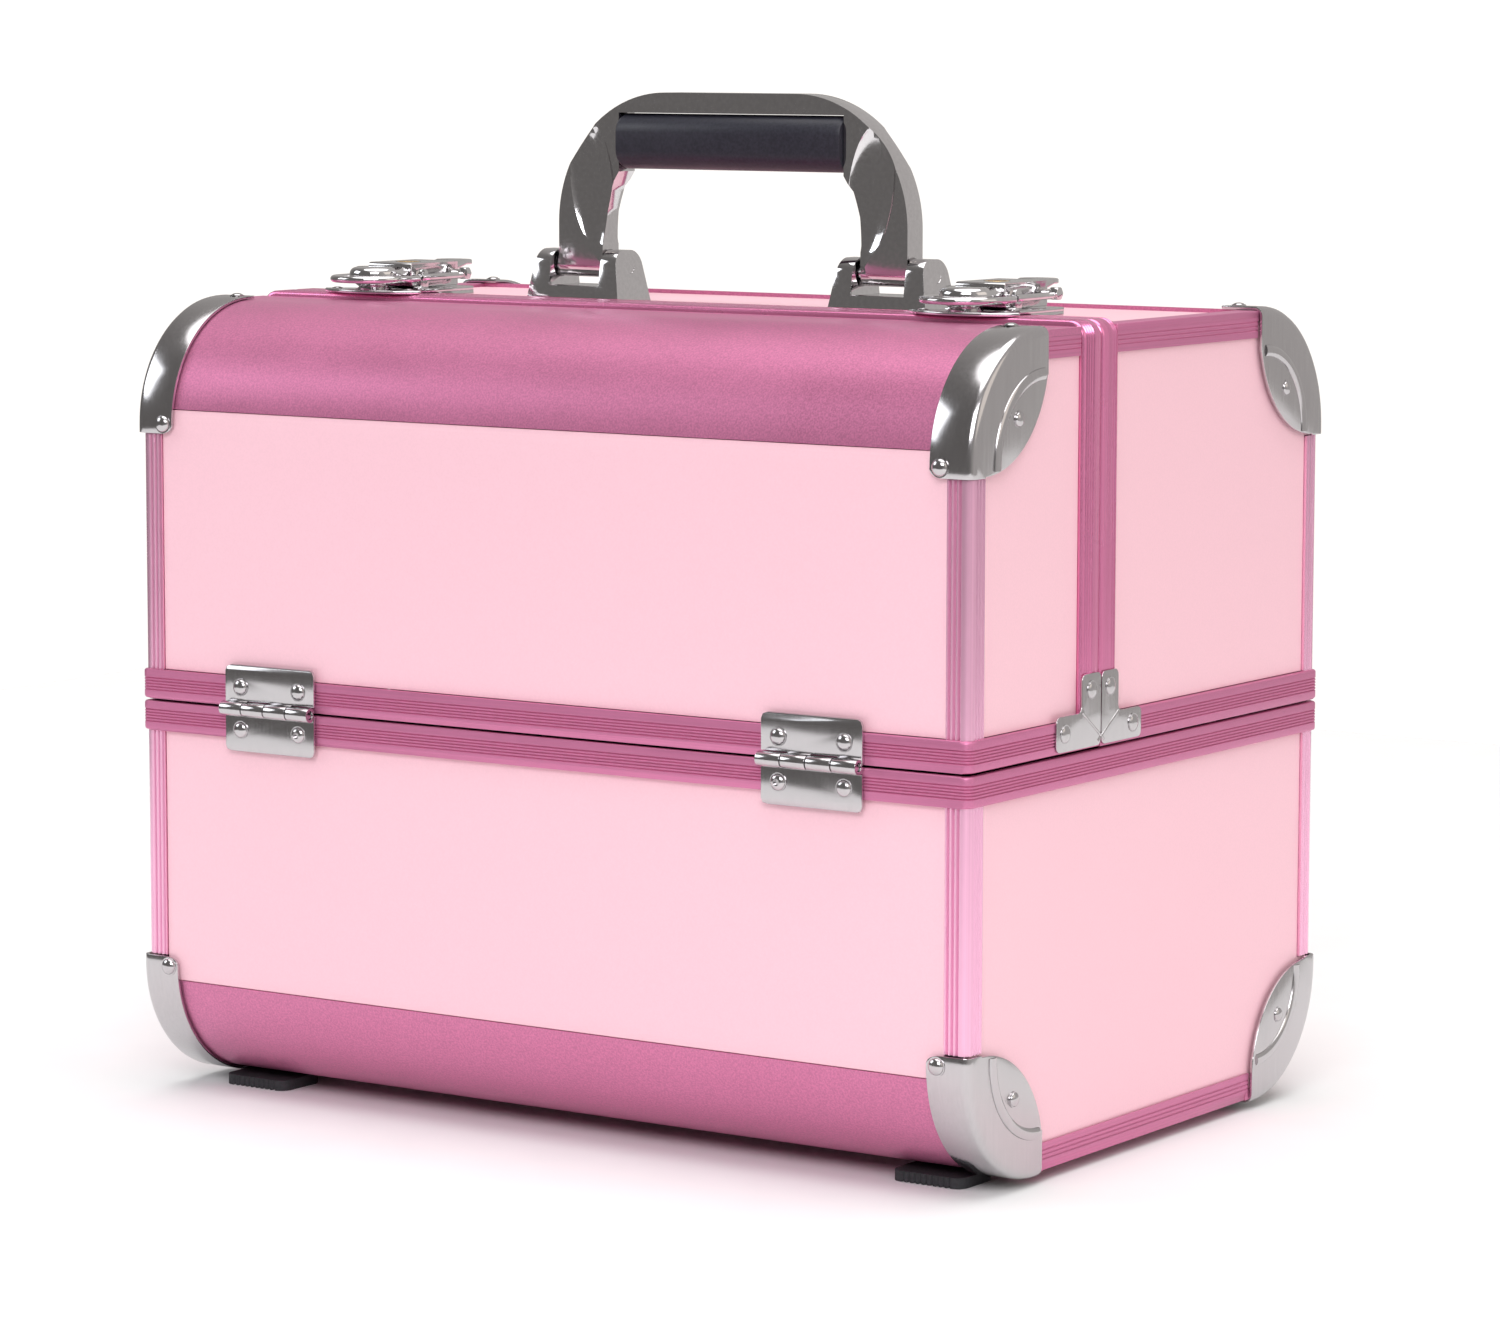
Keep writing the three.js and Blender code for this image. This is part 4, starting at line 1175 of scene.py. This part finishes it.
def handle_bracket():
    """The right bracket: two arched ears on a foot, with a recess round the pin."""
    low, high = BRACKET_LOW, BRACKET_HIGH
    axis = pivot("handle_fold")
    casting = block("bracket", low, high)
    edit(casting)
    choose("FACE", facing((0, 0, 1)))
    centre = [(a + b) / 2 * MM for a, b in zip(low, high)]
    bpy.ops.transform.resize(value=(0.84, 0.72, 1), center_override=centre)
    done()
    round_edges(casting, both(edge_at(z=high[2]), along("x")), 5.2, 7)
    combine(casting, block("slot", (SLOT_X[0], low[1] - 5, 290), (SLOT_X[1], high[1] + 5, high[2] + 5)))
    combine(casting, rod("bore", (65, axis[1], axis[2]), PIN_BORE, 34, "X", 24))
    for x in (low[0] + 1.2, high[0] - 1.2):
        combine(casting, rod("recess", (x, axis[1], axis[2] + 0.4), 3.4, 2.2, "X", 28))
    return soften(casting, 0.8, 3, 40)


def build_handle():
    bright = chrome()
    finish_piece(handle_frame(), "handle_bow", "handle", bright, ["handle_frame"], angle=30)
    sleeve = block("sleeve", GRIP_LOW, GRIP_HIGH)
    round_edges(sleeve, along("x", 10), 6.8, 8)
    slice_at(sleeve, "x", -GRIP_HIGH[0] + 1.5)
    slice_at(sleeve, "x", GRIP_HIGH[0] - 1.5)
    edit(sleeve)
    choose("VERT", lambda v: abs(v.co.x) > (GRIP_HIGH[0] - 0.5) * MM)
    centre = [(a + b) / 2 * MM for a, b in zip(GRIP_LOW, GRIP_HIGH)]
    bpy.ops.transform.resize(value=(1, 0.93, 0.93), center_override=centre)
    done()
    finish_piece(sleeve, "handle_sleeve", "handle", soft_grip(), ["handle_grip"])
    bracket = handle_bracket()
    axis = pivot("handle_fold")
    for x, side in SIDES:
        copy = twin(bracket, "bracket", x=x)
        finish_piece(copy, f"handle_{side}_bracket", "rear_lid", bright, [f"handle_bracket_{side}"])
        pin = rod("pin", (x * 65.5, axis[1], axis[2]), 2.2, 33, "X", 28)
        soften(pin, 0.5, 2, 50)
        finish_piece(pin, f"handle_{side}_pin", "rear_lid", steel(), [f"handle_pin_{side}"])
    bpy.data.objects.remove(bracket)


# ------------------------------------------------------------------ feet, trays and lining


FOOT_RIBS = 9
RIB_PITCH = 2.25


def build_feet():
    finish = foot_rubber()
    low, high = FOOT_LOW, FOOT_HIGH
    pad = block("pad", low, high)
    remove_faces(pad, (0, 0, 1))
    round_edges(pad, along("z"), 4, 4)
    ribs = [low[0] + 5 + i * RIB_PITCH for i in range(FOOT_RIBS)]
    groove(pad, "x", ribs, 0.7, 0.7)
    edit(pad)
    choose("EDGE", lambda e: e.is_boundary)
    bpy.ops.mesh.fill()
    done()
    for x, side in SIDES:
        for y, end in LIDS:
            finish_piece(twin(pad, "pad", x=x, y=y), f"{end}_{side}_foot_pad", "base", finish,
                         [f"foot_{end}_{side}"])
    bpy.data.objects.remove(pad)


TRAY_SIDE = 158.0
TRAY_WALL = 1.6
DIVIDER_X = 52


def tray_model():
    """The front tray: a moulded open box with a rolled rim, dividers and pivot bosses."""
    low = (-TRAY_SIDE, TRAY_LOW[1], TRAY_LOW[2])
    high = (TRAY_SIDE, TRAY_HIGH[1], TRAY_HIGH[2])
    tray = block("tray", low, high)
    remove_faces(tray, (0, 0, 1))
    round_edges(tray, along("z"), 6, 6)
    round_edges(tray, edge_at(z=low[2]), 2.5, 4)
    thicken(tray, TRAY_WALL)
    soften(tray, 0.5, 2, 60)
    parts = [tray]
    for x in (-DIVIDER_X, DIVIDER_X):
        wall = block("divider", (x - 0.8, low[1] + 0.6, low[2] + 0.8), (x + 0.8, high[1] - 0.6, high[2] - 3))
        parts.append(soften(wall, 0.4, 2, 50))
    axis = pivot("front_tray_pivot")
    for sign in (-1, 1):
        boss = rod("boss", (sign * (TRAY_SIDE + 6.2), axis[1], axis[2]), 3.9, 12.6, "X", 28)
        parts.append(soften(boss, 0.5, 2, 50))
    return join(parts, "tray")


def build_trays():
    for node in ARM_NODES:
        dress(node, steel())
    model = tray_model()
    for y, lid in LIDS:
        copy = twin(model, "tray", y=y)
        finish_piece(copy, f"{lid}_tray_shell", f"{lid}_tray", tray_plastic(), [f"{lid}_tray"])
    bpy.data.objects.remove(model)


LINING_SIDE = 170.2                     # outer face of the cloth, by X
LINING_FLOOR = 7.2
LINING_CEILING = 280.8


def lining_shell(name, low, high, open_ways, test, radius):
    """A thin cloth-covered shell inside the case, open on some sides."""
    shell = block(name, low, high)
    remove_faces(shell, *open_ways)
    round_edges(shell, test, radius, 12)
    return thicken(shell, 0.7)


def build_lining():
    cloth = lining_cloth()
    side = LINING_SIDE
    wall = HALF_D - 4.6
    base = lining_shell(
        "base_lining", (-side, -wall, LINING_FLOOR), (side, wall, BASE_HIGH[2] - BELT_HEIGHT - 0.5), [(0, 0, 1)],
        both(edge_at(z=LINING_FLOOR), along("x")), 39)
    finish_piece(base, "base_lining", "base", cloth)
    floor = LID_LOW[2] + BELT_HEIGHT + 0.5
    ceiling = LINING_CEILING
    crest = both(edge_at(z=ceiling), along("x"), lambda e: abs(e.verts[0].co.y) > 100 * MM)
    front = lining_shell(
        "front", (-side, -wall, floor), (side, HOOP_LOW[1] - 0.4, ceiling), [(0, 0, -1), (0, 1, 0)], crest, 38)
    finish_piece(front, "front_lid_lining", "front_lid", cloth)
    rear = lining_shell(
        "rear", (-side, REAR_HOOP_HIGH[1] + 0.4, floor), (side, wall, ceiling), [(0, 0, -1), (0, -1, 0)], crest, 38)
    finish_piece(rear, "rear_lid_lining", "rear_lid", cloth)


# ------------------------------------------------------------------ stage


CAMERA_PLACE = (1.0566, -1.5580, 0.3837)
CAMERA_AZIMUTH = 33.93
CAMERA_TILT = 6.87
CAMERA_ROLL = 0.10
CAMERA_LENS = 126.39
BRIGHT_WAY = (0.6, 0.75, 0.3)
WORLD_DARK = 0.17
WORLD_BRIGHT = 0.55
SUN_STRENGTH = 2.0
BACKDROP = 1.1                          # strength seen by the camera, so the warm tint stays white
WORLD_TINT = (1, 0.965, 0.935, 1)
FLOOR_SIZE = 2.0
AIM = (0, 0, 0.15)
LAMPS = (                               # name, place, size, watts and colour
    ("key", (1.3, -2.5, 1.9), (2.0, 1.3), 52, (0.97, 0.97, 1.0)),
    ("fill", (-2.9, -1.5, 1.7), (1.8, 1.4), 25, (0.92, 0.96, 1.0)),
    ("side", (2.9, 0.3, 1.6), (2.4, 1.8), 8, (1.0, 0.9, 0.78)),
)


def build_camera():
    """The camera, a little above and to the right of the case's front."""
    azimuth, tilt, roll = (math.radians(a) for a in (CAMERA_AZIMUTH, CAMERA_TILT, CAMERA_ROLL))
    ahead = Vector((-math.sin(azimuth) * math.cos(tilt), math.cos(azimuth) * math.cos(tilt), -math.sin(tilt)))
    right = Vector((math.cos(azimuth), math.sin(azimuth), 0))
    up = right.cross(ahead)
    turned_right = right * math.cos(roll) + up * math.sin(roll)
    turned_up = up * math.cos(roll) - right * math.sin(roll)
    data = bpy.data.cameras.new("camera")
    data.lens = CAMERA_LENS
    data.sensor_width = 36
    data.clip_end = 50
    camera = bpy.data.objects.new("camera", data)
    bpy.context.scene.collection.objects.link(camera)
    turn = Matrix((turned_right, turned_up, -ahead)).transposed()
    camera.matrix_world = Matrix.Translation(CAMERA_PLACE) @ turn.to_4x4()
    bpy.context.scene.camera = camera


def soft_light(name, place, size, power, colour):
    """An area light that points at the middle of the case."""
    data = bpy.data.lights.new(name, "AREA")
    data.shape = "RECTANGLE"
    data.size, data.size_y = size
    data.energy = power
    data.color = colour
    light = bpy.data.objects.new(name, data)
    bpy.context.scene.collection.objects.link(light)
    light.location = place
    light.rotation_euler = (Vector(AIM) - Vector(place)).to_track_quat("-Z", "Y").to_euler()


def build_world():
    """Soft surroundings: bright overhead and behind, darker low in front, and plain white as a backdrop."""
    world = bpy.data.worlds.new("studio")
    bpy.context.scene.world = world
    world.use_nodes = True
    tree = world.node_tree
    back = tree.nodes["Background"]
    place = add_node(tree, "ShaderNodeTexCoord")
    dot = add_node(tree, "ShaderNodeVectorMath", operation="DOT_PRODUCT")
    dot.inputs[1].default_value = Vector(BRIGHT_WAY).normalized()
    spread = add_node(tree, "ShaderNodeMapRange", interpolation_type="SMOOTHSTEP")
    spread.inputs["From Min"].default_value = -0.6
    spread.inputs["From Max"].default_value = 0.8
    spread.inputs["To Min"].default_value = WORLD_DARK
    spread.inputs["To Max"].default_value = WORLD_BRIGHT
    rays = add_node(tree, "ShaderNodeLightPath")
    pick = add_node(tree, "ShaderNodeMix", data_type="FLOAT")
    tree.links.new(place.outputs["Generated"], dot.inputs[0])
    tree.links.new(dot.outputs["Value"], spread.inputs["Value"])
    tree.links.new(spread.outputs["Result"], pick.inputs["A"])
    pick.inputs["B"].default_value = BACKDROP
    tree.links.new(rays.outputs["Is Camera Ray"], pick.inputs["Factor"])
    tree.links.new(pick.outputs["Result"], back.inputs["Strength"])
    back.inputs["Color"].default_value = WORLD_TINT


def soft_sun():
    """Even light from straight above, which keeps the floor white to its edges."""
    data = bpy.data.lights.new("zenith", "SUN")
    data.energy = SUN_STRENGTH
    data.angle = math.radians(60)
    light = bpy.data.objects.new("zenith", data)
    bpy.context.scene.collection.objects.link(light)


def build_stage():
    build_camera()
    build_world()
    soft_sun()
    deselect()
    bpy.ops.mesh.primitive_plane_add(size=FLOOR_SIZE)
    floor = named("studio_floor")
    pale = look("Pale Floor", (0.86, 0.86, 0.86), rough=(0.6, 0.7), tint=(0.995, 1.005), grain=40.0, smudge=3.0,
                bump=(0.02, 0.05), specular=0.2)
    floor.data.materials.append(pale)
    for lamp in LAMPS:
        soft_light(*lamp)
    bpy.context.scene.view_settings.view_transform = "Standard"


# ------------------------------------------------------------------ add-on


def build_panels():
    finish = laminate()
    for node in PANEL_NODES:
        dress(node, finish)


class CASE_OT_panels(bpy.types.Operator):
    """Give the panels their pearl pink laminate"""

    bl_idname = "case.panels"
    bl_label = "Panels"
    bl_options = {"REGISTER", "UNDO"}

    def execute(self, context):
        build_panels()
        return {"FINISHED"}


class CASE_OT_belts(bpy.types.Operator):
    """Build the grooved belts of the base and the lids"""

    bl_idname = "case.belts"
    bl_label = "Belts"
    bl_options = {"REGISTER", "UNDO"}

    def execute(self, context):
        build_belts()
        return {"FINISHED"}


class CASE_OT_posts(bpy.types.Operator):
    """Build the fluted corner posts"""

    bl_idname = "case.posts"
    bl_label = "Corner Posts"
    bl_options = {"REGISTER", "UNDO"}

    def execute(self, context):
        build_posts()
        return {"FINISHED"}


class CASE_OT_split_frames(bpy.types.Operator):
    """Build the two hoops that meet at the split"""

    bl_idname = "case.split_frames"
    bl_label = "Split Frames"
    bl_options = {"REGISTER", "UNDO"}

    def execute(self, context):
        build_split_frames()
        return {"FINISHED"}


class CASE_OT_curved_trims(bpy.types.Operator):
    """Build the curved extrusions, side strips and rails"""

    bl_idname = "case.curved_trims"
    bl_label = "Curved Extrusions"
    bl_options = {"REGISTER", "UNDO"}

    def execute(self, context):
        build_curved_trims()
        return {"FINISHED"}


class CASE_OT_corner_caps(bpy.types.Operator):
    """Build the eight pressed corner caps"""

    bl_idname = "case.corner_caps"
    bl_label = "Corner Caps"
    bl_options = {"REGISTER", "UNDO"}

    def execute(self, context):
        build_corner_caps()
        return {"FINISHED"}


class CASE_OT_edge_brackets(bpy.types.Operator):
    """Build the L-shaped brackets at the foot of the split"""

    bl_idname = "case.edge_brackets"
    bl_label = "Edge Brackets"
    bl_options = {"REGISTER", "UNDO"}

    def execute(self, context):
        build_edge_brackets()
        return {"FINISHED"}


class CASE_OT_hinges(bpy.types.Operator):
    """Build the riveted hinge leaves"""

    bl_idname = "case.hinges"
    bl_label = "Hinges"
    bl_options = {"REGISTER", "UNDO"}

    def execute(self, context):
        build_hinges()
        return {"FINISHED"}


class CASE_OT_latches(bpy.types.Operator):
    """Build the keepers, latch bases, levers and keys"""

    bl_idname = "case.latches"
    bl_label = "Latches"
    bl_options = {"REGISTER", "UNDO"}

    def execute(self, context):
        build_latches()
        return {"FINISHED"}


class CASE_OT_handle(bpy.types.Operator):
    """Build the handle bow, its sleeve, brackets and pins"""

    bl_idname = "case.handle"
    bl_label = "Handle"
    bl_options = {"REGISTER", "UNDO"}

    def execute(self, context):
        build_handle()
        return {"FINISHED"}


class CASE_OT_feet(bpy.types.Operator):
    """Build the ribbed rubber feet"""

    bl_idname = "case.feet"
    bl_label = "Feet"
    bl_options = {"REGISTER", "UNDO"}

    def execute(self, context):
        build_feet()
        return {"FINISHED"}


class CASE_OT_trays(bpy.types.Operator):
    """Build the levelling trays and finish their arms"""

    bl_idname = "case.trays"
    bl_label = "Trays"
    bl_options = {"REGISTER", "UNDO"}

    def execute(self, context):
        build_trays()
        return {"FINISHED"}


class CASE_OT_lining(bpy.types.Operator):
    """Build the cloth lining of the base and the lids"""

    bl_idname = "case.lining"
    bl_label = "Lining"
    bl_options = {"REGISTER", "UNDO"}

    def execute(self, context):
        build_lining()
        return {"FINISHED"}


class CASE_OT_stage(bpy.types.Operator):
    """Build the floor, the lights and the camera"""

    bl_idname = "case.stage"
    bl_label = "Stage"
    bl_options = {"REGISTER", "UNDO"}

    def execute(self, context):
        build_stage()
        return {"FINISHED"}


OPERATORS = (
    CASE_OT_panels, CASE_OT_belts, CASE_OT_posts, CASE_OT_split_frames, CASE_OT_curved_trims, CASE_OT_corner_caps,
    CASE_OT_edge_brackets, CASE_OT_hinges, CASE_OT_latches, CASE_OT_handle, CASE_OT_feet, CASE_OT_trays,
    CASE_OT_lining, CASE_OT_stage,
)


class CASE_PT_panel(bpy.types.Panel):
    """Lists the case's sizes, colours and pieces"""

    bl_idname = "CASE_PT_panel"
    bl_label = "Train Case"
    bl_space_type = "VIEW_3D"
    bl_region_type = "UI"
    bl_category = "Train Case"

    def draw(self, context):
        for group in (context.scene.case_sizes, context.scene.case_colours):
            box = self.layout.box()
            for name in group.__annotations__:
                box.prop(group, name)
        for operator in OPERATORS:
            self.layout.operator(operator.bl_idname)


CLASSES = (CaseSizes, CaseColours, *OPERATORS, CASE_PT_panel)


def register():
    for entry in CLASSES:
        bpy.utils.register_class(entry)
    bpy.types.Scene.case_sizes = PointerProperty(type=CaseSizes)
    bpy.types.Scene.case_colours = PointerProperty(type=CaseColours)


def unregister():
    del bpy.types.Scene.case_colours
    del bpy.types.Scene.case_sizes
    for entry in reversed(CLASSES):
        bpy.utils.unregister_class(entry)


def main():
    register()
    for operator in OPERATORS:
        name = operator.bl_idname.split(".")[1]
        result = getattr(bpy.ops.case, name)()
        if result != {"FINISHED"}:
            raise RuntimeError(f"{operator.bl_label} did not finish")


if __name__ == "__main__":
    main()
